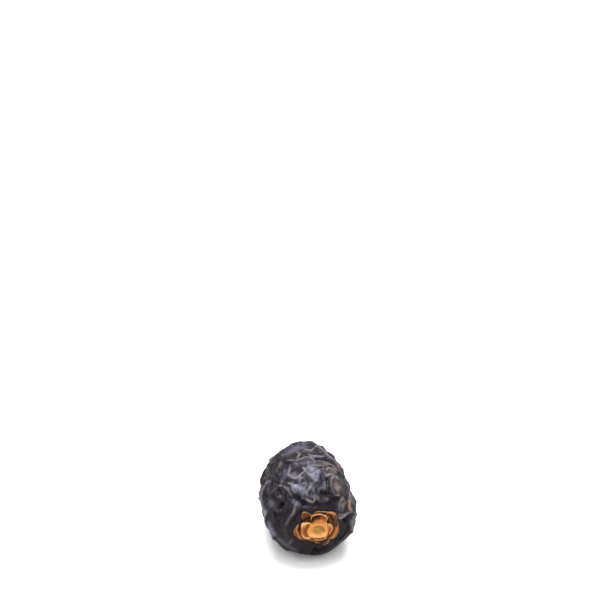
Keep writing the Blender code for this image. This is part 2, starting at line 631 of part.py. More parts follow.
def cup_top(turns, radii, edge):
    """Outward height of the cup: plateau with its scar, pockets, and raised lips."""
    middle = lobe_blend(turns, "plateau") * MM
    plateau = 1.0 - smooth_step(middle - 0.15 * MM, middle + 0.30 * MM, radii)
    groove = (radii - lobe_blend(turns, "groove") * MM) / (lobe_blend(turns, "groove_width") * MM)
    pocket = np.exp(-groove ** 4) * (1.0 - plateau) * smooth_step(0.25 * MM, 0.55 * MM, edge - radii)
    lip = np.exp(-((edge - radii - 0.6 * CUP_LIP) / CUP_LIP) ** 2)
    band_out = lobe_blend(turns, "band_out") * MM
    height = band_out + (lobe_blend(turns, "groove_out") * MM - band_out) * pocket
    height += (lobe_blend(turns, "lip_out") * MM - height) * lip
    dome = PLATEAU_OUT + PLATEAU_DOME * np.exp(-(radii / (1.6 * MM)) ** 2)
    height += (dome - height) * plateau
    angle = np.radians(turns)
    scar = np.hypot(radii * np.cos(angle) / SCAR_WIDTH, radii * np.sin(angle) / SCAR_HEIGHT) * 2.0
    recess = 1.0 - smooth_step(0.84, 1.0, scar)
    height += recess * (0.05 * MM * np.cos(scar * SCAR_RINGS * 2.0 * math.pi) - SCAR_DEPTH)
    return np.maximum(height, cup_bottom(turns, radii, edge) + CUP_THICKNESS)


def centre_on_ground(pieces):
    """Bring the whole date over the origin, its flat spot on the ground."""
    points = np.array([vertex.co[:] for piece in pieces for vertex in piece.data.vertices])
    low = points.min(axis=0)
    high = points.max(axis=0)
    shift = (-(low[0] + high[0]) / 2.0, -(low[1] + high[1]) / 2.0, -low[2])
    for piece in pieces:
        for vertex in piece.data.vertices:
            vertex.co.x += shift[0]
            vertex.co.y += shift[1]
            vertex.co.z += shift[2]


def main():
    clear_scene()
    fruit = make_fruit()
    whorl = turned_plate("petal_whorl", WHORL_RINGS, WHORL_SPOKES, whorl_radius, whorl_top, whorl_bottom)
    cup = turned_plate("calyx_cup", CUP_RINGS, CUP_SPOKES, cup_radius, cup_top, cup_bottom)
    fruit.data.materials.append(principled("date_skin", (0.022, 0.016, 0.020), 0.42))
    whorl.data.materials.append(principled("dry_petal", (0.36, 0.15, 0.045), 0.62))
    cup.data.materials.append(principled("calyx", (0.72, 0.36, 0.11), 0.58))
    centre_on_ground((fruit, whorl, cup))
    for piece in (fruit, whorl, cup):
        piece.data.shade_smooth()
        piece.data.set_sharp_from_angle(angle=math.radians(50.0))


main()
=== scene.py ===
"""Finish of an ajwa date: wrinkled skin, dry petals and calyx cup, on a pale floor in soft light.

Places on the skin are a turn and a reach: degrees round the long axis, 0 at +X and 90 at +Z,
and millimetres over the unwrinkled skin from the stem end. The date's own frame has its middle
at the origin; `Seat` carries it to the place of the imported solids.
"""
from __future__ import annotations

import logging
import math
from dataclasses import dataclass, field
from enum import Enum
from functools import partial

import bpy
import numpy as np
from mathutils import Matrix, Vector


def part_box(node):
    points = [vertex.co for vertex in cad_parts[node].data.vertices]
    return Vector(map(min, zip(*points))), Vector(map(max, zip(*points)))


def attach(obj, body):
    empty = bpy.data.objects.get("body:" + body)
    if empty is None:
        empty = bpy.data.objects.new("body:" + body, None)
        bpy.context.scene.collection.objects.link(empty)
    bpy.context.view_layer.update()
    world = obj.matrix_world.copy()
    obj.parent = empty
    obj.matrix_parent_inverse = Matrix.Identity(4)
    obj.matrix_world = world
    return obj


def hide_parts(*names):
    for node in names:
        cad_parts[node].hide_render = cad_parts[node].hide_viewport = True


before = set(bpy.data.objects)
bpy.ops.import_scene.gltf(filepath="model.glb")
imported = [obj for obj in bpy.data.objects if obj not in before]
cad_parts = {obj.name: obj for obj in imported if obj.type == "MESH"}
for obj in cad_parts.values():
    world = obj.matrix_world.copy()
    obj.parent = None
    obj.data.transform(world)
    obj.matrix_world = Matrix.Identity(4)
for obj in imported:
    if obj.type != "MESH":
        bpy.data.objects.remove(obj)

MM = 0.001
LOG = logging.getLogger("ajwa_date")
Pair = tuple[float, float]
Colour = tuple[float, float, float, float]
BLACK: Colour = (0.0, 0.0, 0.0, 1.0)
WHITE: Colour = (1.0, 1.0, 1.0, 1.0)
WHOLE: Pair = (0.0, 1.0)


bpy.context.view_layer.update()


def smooth_step(low: float | np.ndarray, high: float | np.ndarray, value: np.ndarray) -> np.ndarray:
    """A soft step from 0 to 1.

    Args:
        low: Value where the step starts.
        high: Value where it ends.
        value: Values to look up.

    Returns:
        The step at each value.
    """
    part = np.clip((value - low) / (high - low), 0.0, 1.0)
    return part * part * (3.0 - 2.0 * part)


def unrolled(turns: np.ndarray) -> np.ndarray:
    """Turns between -90 and 270 degrees, so that they run on over the top."""
    return (turns + 90.0) % 360.0 - 90.0


def between(rise: Pair, fall: Pair, value: np.ndarray) -> np.ndarray:
    """A soft window: up from 0 to 1 over one range, down again over another.

    Args:
        rise: Where it rises, as (start, end).
        fall: Where it falls.
        value: Values to look up.

    Returns:
        The window at each value.
    """
    return smooth_step(*rise, value) * (1.0 - smooth_step(*fall, value))


def soft_line(distance: np.ndarray, width: float) -> np.ndarray:
    """1 on a line, fading to its sides over its width."""
    return np.exp(-(distance / width) ** 2)


@dataclass(frozen=True)
class Field:
    """A smooth random field of about -1 to 1, from a few plane waves.

    Attributes:
        wavelength: Mean distance from crest to crest, in metres.
        count: Number of waves.
        seed: Seed of the draw.
    """

    wavelength: float
    count: int
    seed: int

    def at(self, points: np.ndarray) -> np.ndarray:
        """The field's value at each place.

        Args:
            points: Places in metres, one row each.

        Returns:
            One value each.
        """
        draw = np.random.default_rng(self.seed)
        total = np.zeros(len(points))
        for _ in range(self.count):
            direction = draw.normal(size=3)
            direction /= np.linalg.norm(direction)
            pitch = self.wavelength * draw.uniform(0.75, 1.35)
            phase = draw.uniform(0.0, 6.28)
            total += np.sin(points @ direction * (2.0 * math.pi / pitch) + phase)
        return total / math.sqrt(self.count)


class Mark(Enum):
    """What a stroke or a spot does to the skin."""

    CREST = "crest"
    CREASE = "crease"
    HOLLOW = "hollow"
    BUMP = "bump"
    # Bluish bloom, partly painted highlight
    BLOOM = "bloom_and_highlight"
    DUST = "dust"
    AMBER = "amber"
    # Painted shade: dark bare skin in pits and under lobes
    BARE = "bare_shade"


@dataclass(frozen=True)
class Stroke:
    """A line over the skin.

    Attributes:
        mark: Crest, crease or a marking.
        size: Its height or depth in millimetres, or how strong a marking is.
        width: How fast it fades to its sides, in millimetres.
        route: Its corners as (turn, reach).
    """

    mark: Mark
    size: float
    width: float
    route: tuple[Pair, ...]


@dataclass(frozen=True)
class Spot:
    """A round place on the skin.

    Attributes:
        mark: Bump or hollow.
        size: Its height or depth in millimetres.
        radius: Its radius in millimetres.
        turn: Degrees round the axis.
        reach: Millimetres over the skin from the stem end.
    """

    mark: Mark
    size: float
    radius: float
    turn: float
    reach: float


def line(mark: Mark, size: float, width: float, *route: Pair) -> Stroke:
    """A line of one kind through the given places."""
    return Stroke(mark, size, width, route)


# Makers of each kind of stroke and spot
crest, crease, bloom_and_highlight, dust, amber, bare_shade = (
    partial(line, kind)
    for kind in (Mark.CREST, Mark.CREASE, Mark.BLOOM, Mark.DUST, Mark.AMBER, Mark.BARE)
)
hollow = partial(Spot, Mark.HOLLOW)
bump = partial(Spot, Mark.BUMP)

STROKES = (
    # Upper back
    crest(0.50, 0.55, (71, 28.6), (65, 27.6), (61.5, 25.8), (60, 24.6), (54.5, 24.1), (48, 23.8),
          (42, 23.7), (38, 22.6)),
    crest(0.42, 0.45, (114, 23.2), (109, 22.7), (104, 21.6), (99.5, 21.9), (95, 22), (91, 22.5),
          (86, 22.3), (81, 21.6)),
    crest(0.38, 0.50, (86, 24), (81, 23), (76, 22.9), (70, 23.3), (66, 24)),
    crest(0.36, 0.45, (99, 25.6), (96, 24.6), (99.5, 23.3)),
    crest(0.35, 0.50, (88, 26.4), (79, 26.3), (74, 27.5), (71, 28.7)),
    crest(0.40, 0.70, (137, 28), (128, 29), (120, 29.6), (112, 29.8), (104, 30)),
    # Lens-shaped facet on the crown
    crest(0.40, 0.45, (87, 18.6), (84.5, 18), (78, 18.2), (72, 18.4), (68, 18.8)),
    crest(0.30, 0.45, (85, 19.2), (82, 20.3), (76, 21), (70, 21.3), (64, 21)),
    crest(0.32, 0.40, (66, 20), (62, 20.4), (58, 20.6), (54, 20.2)),
    crest(0.42, 0.50, (68, 17.6), (65, 18.2), (61, 18), (57, 18.3), (54, 18.9), (49.5, 19),
          (43, 19.4), (38, 19.6)),
    # Pale kite-shaped facet
    crest(0.42, 0.45, (98, 17.6), (96, 16), (93, 14.6), (90, 13.6), (86.5, 12.4)),
    crest(0.38, 0.40, (90, 14.6), (86.5, 15), (82, 15.5), (79, 16.4), (75.5, 17.1), (72, 17.6)),
    crest(0.30, 0.40, (86.5, 12.4), (84.5, 13.1), (81.5, 14.2), (81, 15.5)),
    crest(0.30, 0.40, (89, 20.2), (90.3, 19), (91.5, 17.6), (94, 16.9), (97, 17.2)),
    # Right flank, round the large round hollow
    crest(0.45, 0.45, (77, 16.2), (75.5, 15.6), (73.5, 14.9), (71.5, 14.3), (68.5, 14.9),
          (64.5, 15.4), (59, 15.3), (56, 14.8)),
    crest(0.40, 0.50, (63, 14.6), (65.5, 13.4), (65.5, 11.8), (63, 10.4), (57, 9.8), (51, 10.2)),
    crest(0.25, 0.35, (74, 12.4), (73.5, 11.5), (73.5, 10)),
    crest(0.40, 0.45, (36, 15), (34, 13.5), (32.5, 12), (29, 10.9), (24, 10), (20, 9.8)),
    crest(0.25, 0.35, (27, 12.6), (23, 11.4), (19, 11)),
    crest(0.28, 0.30, (34, 10), (41, 10.1), (44.5, 9), (43, 7.8), (38, 6.9), (33.5, 7.4),
          (32.5, 8.6), (34, 10)),
    crest(0.42, 0.40, (33, 5.4), (25, 5.9), (21.5, 7.3), (18, 9), (16, 10.4)),
    crest(0.40, 0.45, (12, 12), (8, 11.8), (2, 10.8), (-10, 9.8), (-18, 10.3), (-24, 11.4)),
    # Left of the crown
    crest(0.48, 0.40, (115.5, 16), (114, 15.3), (111, 14.6), (106.5, 14.6), (103.5, 15.2),
          (101, 15.5), (98.5, 15.9)),
    crest(0.25, 0.30, (107.5, 13.4), (105.5, 14), (102.5, 14.1)),
    crest(0.42, 0.50, (118, 17), (116, 17.8), (114, 19), (112.5, 19.9), (112, 21)),
    crest(0.45, 0.50, (131, 22), (129, 22.5), (124, 23.5), (122, 24.4)),
    crest(0.35, 0.50, (121, 14.2), (118, 13.5), (120, 12), (119, 11)),
    crest(0.30, 0.45, (128, 14), (127, 12.7), (125, 11.6)),
    crest(0.30, 0.35, (134, 15.6), (132, 15.4), (130, 15.3)),
    # Edges of the glossy lobe above the cap
    crest(0.35, 0.40, (104, 8), (103, 9), (101.5, 9.8), (99.5, 10.2), (96, 10.8), (92, 11.6),
          (88, 12.3)),
    crest(0.38, 0.45, (112, 8.8), (107, 8.1), (103, 7.6), (97, 7.1), (92.5, 7.4), (91, 8.8)),
    crest(0.25, 0.50, (88, 9.2), (87, 8), (84, 7.2), (78, 7), (71, 7.2), (68, 8.4)),
    # Left flank
    crest(0.55, 0.70, (168, 22.5), (171, 19.3), (171.5, 17), (174, 15.5), (178, 14.5), (183, 14.3),
          (188.5, 13.4), (190, 12.2), (195, 11.8), (201, 12.2), (208, 13.2)),
    crest(0.42, 0.55, (128, 7.9), (134, 7.2), (138.5, 6.9), (147.5, 7), (157, 6.9), (165.5, 7.1)),
    crest(0.25, 0.40, (202, 6), (209, 6.9), (214, 7.6)),
    # Creases
    crease(0.35, 0.45, (86, 19.4), (83, 21.2), (76, 21.9), (68, 22.2), (60, 22.6), (53, 22.3),
           (46, 22), (40, 21.2)),
    crease(0.25, 0.35, (96, 23.2), (90, 23.5), (84, 23.3)),
    crease(0.25, 0.40, (100, 20.8), (94, 20.9), (88, 21.2)),
    crease(0.45, 0.50, (129, 13), (127.5, 12.3), (124.5, 11.3), (122, 10.4), (119, 9.6),
           (116, 8.8), (112, 7.6)),
    crease(0.22, 0.50, (113, 7.1), (103, 6.6), (97, 6.2), (91, 6.4)),
    crease(0.30, 0.45, (90.5, 11.5), (90, 10), (89.5, 8.5)),
    crease(0.30, 0.50, (69, 13.4), (70, 11.6), (69, 9.4)),
    crease(0.40, 0.50, (136.5, 11.7), (139, 10.8), (145, 11), (151, 10.6), (156, 11.2)),
    crease(0.28, 0.60, (124, 5.9), (135, 5.8), (147, 5.8), (160, 5.8), (168, 6)),
    crease(0.30, 0.50, (14, 6.6), (9, 7.8), (8, 9.2)),
    crease(0.45, 0.50, (-33, 7.2), (-26, 7.7), (-17.5, 8), (-8, 8.7), (0, 9.6)),
    crease(0.55, 0.60, (-93, 6), (-95, 8), (-98, 10.5)),
    crease(0.30, 0.40, (75, 17.4), (70, 17.5), (66, 16.9), (60, 16.8)),
    crease(0.30, 0.40, (112, 13.6), (108, 13.2), (105, 13.2)),
)

MARKINGS = (
    # Bluish bloom, partly painted highlight where lobes and facets catch the light: crown, upper back, left
    # edge, foot
    bloom_and_highlight(0.9, 0.80, (92, 15.6), (88, 14.6), (85, 13.0)),
    bloom_and_highlight(0.9, 0.90, (90, 17.4), (84, 15.8), (79, 15.6)),
    bloom_and_highlight(1.0, 0.75, (114, 12.6), (111, 11.6), (107, 10.8), (105, 10.2)),
    bloom_and_highlight(1.0, 0.60, (91, 11.4), (93, 10.4)),
    bloom_and_highlight(0.7, 0.45, (104, 12.6), (101, 12.2)),
    bloom_and_highlight(0.6, 0.34, (103, 9.0), (99, 8.6)),
    bloom_and_highlight(0.3, 0.34, (84.5, 9.6), (81, 8.4), (70, 7.8)),
    bloom_and_highlight(0.6, 0.80, (121, 19.6), (119, 17.2), (111, 15.8), (107, 14.0)),
    bloom_and_highlight(0.5, 0.45, (118, 19), (115, 19.2)),
    bloom_and_highlight(0.6, 0.70, (78, 23.3), (72, 23.6)),
    bloom_and_highlight(0.9, 0.45, (57, 24.6), (52, 24.4), (46, 23.4)),
    bloom_and_highlight(0.5, 1.10, (102, 20.6), (94, 20.4), (87, 20.8)),
    bloom_and_highlight(0.5, 1.20, (112, 27), (100, 27.6), (88, 28)),
    bloom_and_highlight(0.6, 0.40, (127, 9.2), (125, 8.2)),
    bloom_and_highlight(1.0, 0.60, (170.5, 20), (171.5, 17.5), (173.5, 15)),
    bloom_and_highlight(0.5, 0.70, (160, 15.0), (157, 13.4)),
    bloom_and_highlight(1.0, 0.70, (184, 12.8), (189, 12.0), (195, 11.2)),
    bloom_and_highlight(0.5, 0.80, (206, 10.4), (216, 9.2), (228, 7.8)),
    bloom_and_highlight(0.6, 0.40, (3, 10.5), (-7, 9.9), (-16, 9.9)),
    # Brown dust: right flank, its large round hollow, left pits, low ridges on the right
    dust(0.6, 0.50, (82, 18.9), (73, 19.7), (63, 20.8)),
    dust(1.0, 0.55, (58, 18.8), (48, 19.9)),
    dust(0.9, 0.50, (68, 16.6), (63, 17.4), (57, 17.6)),
    dust(0.7, 0.45, (70, 15.2), (61, 15.8)),
    dust(1.0, 1.30, (56, 12.8), (52, 12.3)),
    dust(0.8, 0.60, (49, 23.8), (44, 22.8)),
    dust(0.9, 0.50, (44, 10.3), (37, 8.4)),
    dust(0.6, 0.45, (132, 16.4), (127, 16.8)),
    dust(0.5, 0.35, (98, 24.4), (101, 23)),
    dust(0.7, 0.25, (34.5, 6.0), (23.5, 7.3), (14.5, 9.4), (8.5, 11.3)),
    dust(0.5, 0.40, (18, 10.5), (12.5, 11.0)),
    dust(0.8, 0.30, (126, 13.2), (126, 12.6)),
    dust(0.7, 0.30, (143, 13.0), (141, 12.6)),
    # Thin amber skin on the right edge
    amber(1.0, 0.45, (29, 10.8), (22, 9.9)),
    # Painted shade: bare black skin darkened beside and under the lobes, in the left pits, low on the right,
    # foot
    bare_shade(1.0, 1.40, (80, 9.0), (65, 8.8), (56, 8.4)),
    bare_shade(1.0, 0.70, (88, 7.1), (74, 7.2), (62, 7.4)),
    bare_shade(1.0, 0.55, (110, 8.3), (106, 8.9), (97, 7.8)),
    bare_shade(1.0, 0.60, (77, 16.4), (78, 13.4), (80, 11.2)),
    bare_shade(0.8, 0.60, (111, 20.4), (110, 18.6), (114, 17.4)),
    bare_shade(0.7, 0.60, (125, 23.0), (128, 22.2)),
    bare_shade(0.6, 0.60, (47, 11.8), (46, 10.6)),
    bare_shade(0.8, 0.45, (66, 13.6), (66, 11.8), (63, 10.4), (57, 9.8)),
    bare_shade(0.4, 0.50, (107, 12.2), (103, 11.6)),
    bare_shade(0.7, 0.80, (151, 15), (147, 13.2)),
    bare_shade(0.8, 0.70, (136, 17.5), (138, 14.2)),
    bare_shade(1.0, 0.60, (147, 11.4), (151, 10.2)),
    bare_shade(1.0, 0.60, (167, 11.5), (160, 9.6)),
    bare_shade(1.0, 0.50, (129, 10.8), (126, 10.2)),
    bare_shade(1.0, 0.50, (154, 15.8), (150, 15.8)),
    bare_shade(0.6, 1.10, (112, 20.2), (117, 22.5), (123, 24.5)),
    bare_shade(0.6, 1.10, (53, 26.2), (58, 27)),
    bare_shade(0.7, 0.90, (150, 8), (165, 8.2)),
    bare_shade(0.8, 0.90, (9, 7), (0, 7.5)),
    bare_shade(1.0, 1.20, (-14, 7.4), (-24, 7), (-36, 6.5)),
    bare_shade(0.8, 0.90, (-66, 5.8), (-78, 5.8), (-93, 6.5)),
)

SPOTS = (
    # Small pits, most on the left flank
    hollow(0.70, 0.8, 152, 15.8),
    hollow(0.50, 0.7, 127, 10.4),
    hollow(0.45, 0.8, 147, 8.8),
    hollow(0.45, 0.6, 130, 15.2),
    hollow(0.50, 0.7, 153, 18.6),
    hollow(0.45, 0.6, 134, 12.0),
    hollow(0.55, 0.8, 137, 14.1),
    hollow(0.60, 0.9, 147, 11.0),
    hollow(0.55, 0.9, 166, 11.4),
    hollow(0.20, 1.2, 101, 12.9),
    hollow(0.15, 0.8, 38, 8.6),
    hollow(0.40, 0.8, 136.5, 17.5),
    hollow(0.60, 1.3, 151, 14.4),
    hollow(0.30, 0.7, 109, 18.2),
    hollow(0.35, 0.7, 131.5, 21.8),
    hollow(0.30, 0.6, 112.5, 21.4),
    hollow(0.30, 0.6, 124.5, 15.7),
    # Broader hollows
    hollow(0.45, 2.1, 57, 12.4),
    hollow(0.50, 3.4, 36, 17),
    hollow(0.70, 5.0, 26, 21.0),
    hollow(0.40, 1.5, 168, 25),
    hollow(0.40, 1.6, 186, 17),
    hollow(0.35, 1.8, 172, 9.2),
    hollow(0.35, 1.6, 10, 7.8),
    hollow(0.25, 1.6, 91, 15.6),
    hollow(0.60, 3.2, 22, 21.5),
    hollow(0.60, 3.2, 187, 22.5),
    hollow(0.30, 2.5, 214, 13.8),
    hollow(0.45, 3.5, 110, 32.2),
    hollow(0.40, 1.8, 334, 12.1),
    hollow(0.90, 3.2, 245, 11.4),
    # Small knobs
    bump(0.35, 0.6, 126, 12.9),
    bump(0.35, 0.6, 142, 12.8),
    bump(0.35, 0.8, 130.5, 17.1),
    bump(0.30, 0.7, 125, 14.7),
    bump(0.35, 0.8, 138.5, 20.5),
    bump(0.35, 0.8, 150, 18),
    bump(0.40, 0.9, 148, 15.8),
    bump(0.35, 1.0, 107, 19.1),
    bump(0.30, 0.8, 103, 18.4),
    bump(0.30, 0.9, 98.5, 19.5),
    bump(0.30, 1.2, 158, 13.2),
    bump(0.30, 0.6, 161, 11.9),
    bump(0.20, 0.6, 3, 7.7),
    bump(0.30, 0.7, 128, 8),
    # Broad swells
    bump(0.30, 4.5, 191, 16.5),
    bump(0.20, 2.2, 183, 18),
    bump(0.50, 6.0, 92, 32),
    bump(0.40, 4.5, 72, 30.5),
    bump(0.70, 2.6, 58, 30.7),
    bump(0.75, 3.0, 167, 29.3),
    bump(0.50, 2.2, 172, 28.3),
    bump(0.40, 2.4, 9, 15.6),
    bump(0.45, 5.0, 284, 12.5),
    bump(0.35, 3.0, 109, 10.3),
    bump(0.25, 2.4, 80, 10.5),
)


def route_distance(points: np.ndarray, corners: np.ndarray) -> np.ndarray:
    """Distance from each point to a line through the corners.

    Args:
        points: Places, one row each.
        corners: The line's corners, one row each.

    Returns:
        The distance of each point.
    """
    nearest = np.full(len(points), 1.0)
    for start, end in zip(corners[:-1], corners[1:]):
        way = end - start
        part = np.clip((points - start) @ way / (way @ way), 0.0, 1.0)
        nearest = np.minimum(nearest, np.linalg.norm(points - start - part[:, None] * way, axis=1))
    return nearest


@dataclass
class DateForm:
    """The plain, unwrinkled form of the fruit."""

    length: float = 30.0 * MM
    width: float = 21.5 * MM
    bluntness: float = 3.6
    stem_end_swell: float = 0.06
    height_ratio: float = 0.98
    steps: int = 1200
    reach: np.ndarray = field(init=False)
    along: np.ndarray = field(init=False)
    radius: np.ndarray = field(init=False)

    def __post_init__(self) -> None:
        """Work out the profile against the way over the skin."""
        angle = np.linspace(0.0, math.pi, self.steps)
        axial = -np.sign(np.cos(angle)) * np.abs(np.cos(angle)) ** (2.0 / self.bluntness)
        self.radius = 0.5 * self.width * np.sin(angle) * (1.0 - self.stem_end_swell * axial)
        self.along = 0.5 * self.length * axial
        step = np.hypot(np.diff(self.along), np.diff(self.radius))
        self.reach = np.concatenate(([0.0], np.cumsum(step)))

    def points(self, turns: np.ndarray, reaches: np.ndarray) -> np.ndarray:
        """Points of the plain skin.

        Args:
            turns: Degrees round the axis.
            reaches: Metres over the skin.

        Returns:
            One row of coordinates each.
        """
        angle = np.radians(np.asarray(turns, dtype=float))
        along = np.interp(reaches, self.reach, self.along)
        radius = np.interp(reaches, self.reach, self.radius)
        return np.stack((radius * np.cos(angle), along, radius * np.sin(angle) * self.height_ratio), axis=-1)

    def normals(self, turns: np.ndarray, reaches: np.ndarray) -> np.ndarray:
        """Outward normals of the plain skin, for the same arguments as `points`.

        Args:
            turns: Degrees round the axis.
            reaches: Metres over the skin.

        Returns:
            One unit row each.
        """
        step = 0.05 * MM
        low = np.clip(reaches - step, 0.0, self.reach[-1])
        high = np.clip(reaches + step, 0.0, self.reach[-1])
        along = np.interp(high, self.reach, self.along) - np.interp(low, self.reach, self.along)
        radius = np.interp(high, self.reach, self.radius) - np.interp(low, self.reach, self.radius)
        angle = np.radians(turns)
        normal = np.stack((along * np.cos(angle), -radius, along * np.sin(angle)), axis=-1)
        return normal / np.linalg.norm(normal, axis=-1, keepdims=True)

    def reach_on_ball(self, polar: np.ndarray) -> np.ndarray:
        """Reach that shares out the skin's area as a ball shares its own, for even faces.

        Args:
            polar: Angles from the ball's pole, in radians.

        Returns:
            The reach of each, in metres.
        """
        ring = 0.5 * (self.radius[1:] + self.radius[:-1]) * np.diff(self.reach)
        area = np.concatenate(([0.0], np.cumsum(ring)))
        return np.interp(0.5 * (1.0 - np.cos(polar)), area / area[-1], self.reach)


def round_curve(outline: tuple[Pair, ...], turns: np.ndarray) -> np.ndarray:
    """A smooth closed outline's radius at each turn, by cubic pieces through its points.

    Args:
        outline: Its points as (turn in degrees, radius in millimetres), the turns rising.
        turns: Turns to look up.

    Returns:
        The radius at each turn, in metres.
    """
    knots, radii = np.array(outline, dtype=float).T
    low = knots[0]
    knots = np.concatenate((knots[-2:] - 360.0, knots, knots[:3] + 360.0))
    radii = np.concatenate((radii[-2:], radii, radii[:3])) * MM
    wrapped = (np.asarray(turns, dtype=float) - low) % 360.0 + low
    index = np.clip(np.searchsorted(knots, wrapped, side="right") - 1, 1, len(knots) - 3)
    width = knots[index + 1] - knots[index]
    part = (wrapped - knots[index]) / width
    slope_in = (radii[index + 1] - radii[index - 1]) / (knots[index + 1] - knots[index - 1]) * width
    slope_out = (radii[index + 2] - radii[index]) / (knots[index + 2] - knots[index]) * width
    square = part * part
    cube = square * part
    start = radii[index] * (2 * cube - 3 * square + 1) + slope_in * (cube - 2 * square + part)
    return start + radii[index + 1] * (3 * square - 2 * cube) + slope_out * (cube - square)


def crest_shape(distance: np.ndarray, width: float, rounding: float) -> np.ndarray:
    """A crest with a rounded top and hollow flanks.

    Args:
        distance: Metres from the crest's line.
        width: How fast it fades.
        rounding: Radius of its top.

    Returns:
        1 on the line, falling to 0.
    """
    return np.exp(-(np.sqrt(distance ** 2 + rounding ** 2) - rounding) / width)


@dataclass(frozen=True)
class Folds:
    """Meandering crests where a smooth random field crosses zero, each stretch with its own height.

    Attributes:
        height: Height of the strongest crests.
        wavelength: Wavelength of the field, about twice the way from crest to crest.
        width: How fast a crest fades, as a share of the field.
        seed: Seed of the field.
        stretch: How much longer the crests run along the date than round it.
        patchiness: 0 for crests of one height, 1 for crests that fade out in places.
        drift: How far the field is pushed about, in wavelengths.
        drift_length: Wavelength of that push, in wavelengths.
        rounding: Radius of the crests' tops, as a share of their width.
        patch_length: Wavelength of the fading, in wavelengths.
        fading: Values of its field from faded to full.
    """

    height: float
    wavelength: float
    width: float
    seed: int
    stretch: float
    patchiness: float
    drift: float = 0.16
    drift_length: float = 1.6
    rounding: float = 0.25
    patch_length: float = 1.3
    fading: Pair = (-1.1, 1.0)

    def rise(self, points: np.ndarray) -> np.ndarray:
        """Height of the crests over each point of the plain skin.

        Args:
            points: Places in metres, one row each.

        Returns:
            The height at each place.
        """
        pushes = [Field(self.drift_length * self.wavelength, 7, self.seed + 1 + axis) for axis in range(3)]
        drift = np.stack([push.at(points) for push in pushes], axis=-1)
        places = points + self.drift * self.wavelength * drift
        places = places * np.array([1.0, 1.0 / self.stretch, 1.0])
        value = Field(self.wavelength, 16, self.seed).at(places)
        crests = crest_shape(value, self.width, self.rounding * self.width)
        patches = Field(self.patch_length * self.wavelength, 7, self.seed + 7)
        strength = smooth_step(*self.fading, patches.at(points))
        return self.height * crests * (1.0 - self.patchiness * (1.0 - strength))


def across_cap(turns: np.ndarray, radii: np.ndarray) -> np.ndarray:
    """Places across the cap, one pair each, from turns in degrees and radii."""
    angle = np.radians(turns)
    return np.stack((radii * np.cos(angle), radii * np.sin(angle)), axis=-1)


@dataclass
class CapOutline:
    """Outlines and layers of the cap, about its own axis along Y."""

    form: DateForm
    centre_x: float = 0.3 * MM
    centre_z: float = 0.3 * MM
    plate_thickness: float = 0.75 * MM
    seat_depth: float = 0.40 * MM
    radii: tuple[float, ...] = (0.0, 2.2, 3.0, 4.2, 5.2, 6.2)
    outs: tuple[float, ...] = (-1.10, -1.10, -0.78, -0.74, -0.84, -1.02)
    outline: tuple[Pair, ...] = (
        (-9, 5.1), (6, 4.92), (26, 5.0), (39, 5.47), (51, 5.2), (60, 4.8), (75, 4.52), (92, 4.5),
        (101, 4.3), (109, 3.97), (114, 4.4), (121, 5.3), (127, 5.68), (134, 5.4), (142, 4.75),
        (151, 4.35), (162, 4.75), (176, 5.3), (187, 5.7), (198, 5.55), (208, 5.1), (219, 4.5),
        (228, 4.1), (240, 3.8), (252, 3.8), (266, 4.15), (282, 4.85), (294, 5.08), (305, 4.7),
        (311, 4.3), (316, 4.75), (325, 5.2), (338, 5.22),
    )
    seams: tuple[float, float, float] = (110, 222, 309)

    def radius(self, turns: np.ndarray) -> np.ndarray:
        """The petals' radius at each turn."""
        return round_curve(self.outline, turns)

    def out(self, radii: np.ndarray) -> np.ndarray:
        """The petals' mean face, as metres out of the plane of the stem end."""
        return np.interp(radii / MM, self.radii, self.outs) * MM

    def polar(self, points: np.ndarray) -> tuple[np.ndarray, np.ndarray]:
        """Turn in degrees and distance of points about the cap's axis.

        Args:
            points: Places in metres, one row each.

        Returns:
            Their turns and their distances.
        """
        across = points[:, 0] - self.centre_x
        upward = points[:, 2] - self.centre_z
        return np.degrees(np.arctan2(upward, across)), np.hypot(across, upward)

    def place(self, turns: np.ndarray, radii: np.ndarray, outs: np.ndarray) -> np.ndarray:
        """Points from turns, radii and heights out of the stem end's plane.

        Args:
            turns: Degrees round the cap's axis.
            radii: Distances from it.
            outs: Heights.

        Returns:
            One row of coordinates each.
        """
        across, upward = across_cap(turns, radii).T
        along = -0.5 * self.form.length - outs
        return np.stack((self.centre_x + across, along, self.centre_z + upward), axis=-1)


@dataclass
class Seat:
    """The way from the date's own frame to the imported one, from the box of the petals' node."""

    cap: CapOutline
    spokes: int = 88

    def shift(self) -> np.ndarray:
        """Metres to add to a point of the date's own frame.

        Returns:
            The shift along each axis.
        """
        turns = np.arange(self.spokes) * 360.0 / self.spokes
        rim = self.cap.place(turns, self.cap.radius(turns), np.zeros(self.spokes))
        back = -0.5 * self.cap.form.length - self.cap.outs[0] * MM + self.cap.plate_thickness
        low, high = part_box("petal_whorl")
        return np.array([low[0] - rim[:, 0].min(), high[1] - back, low[2] - rim[:, 2].min()])


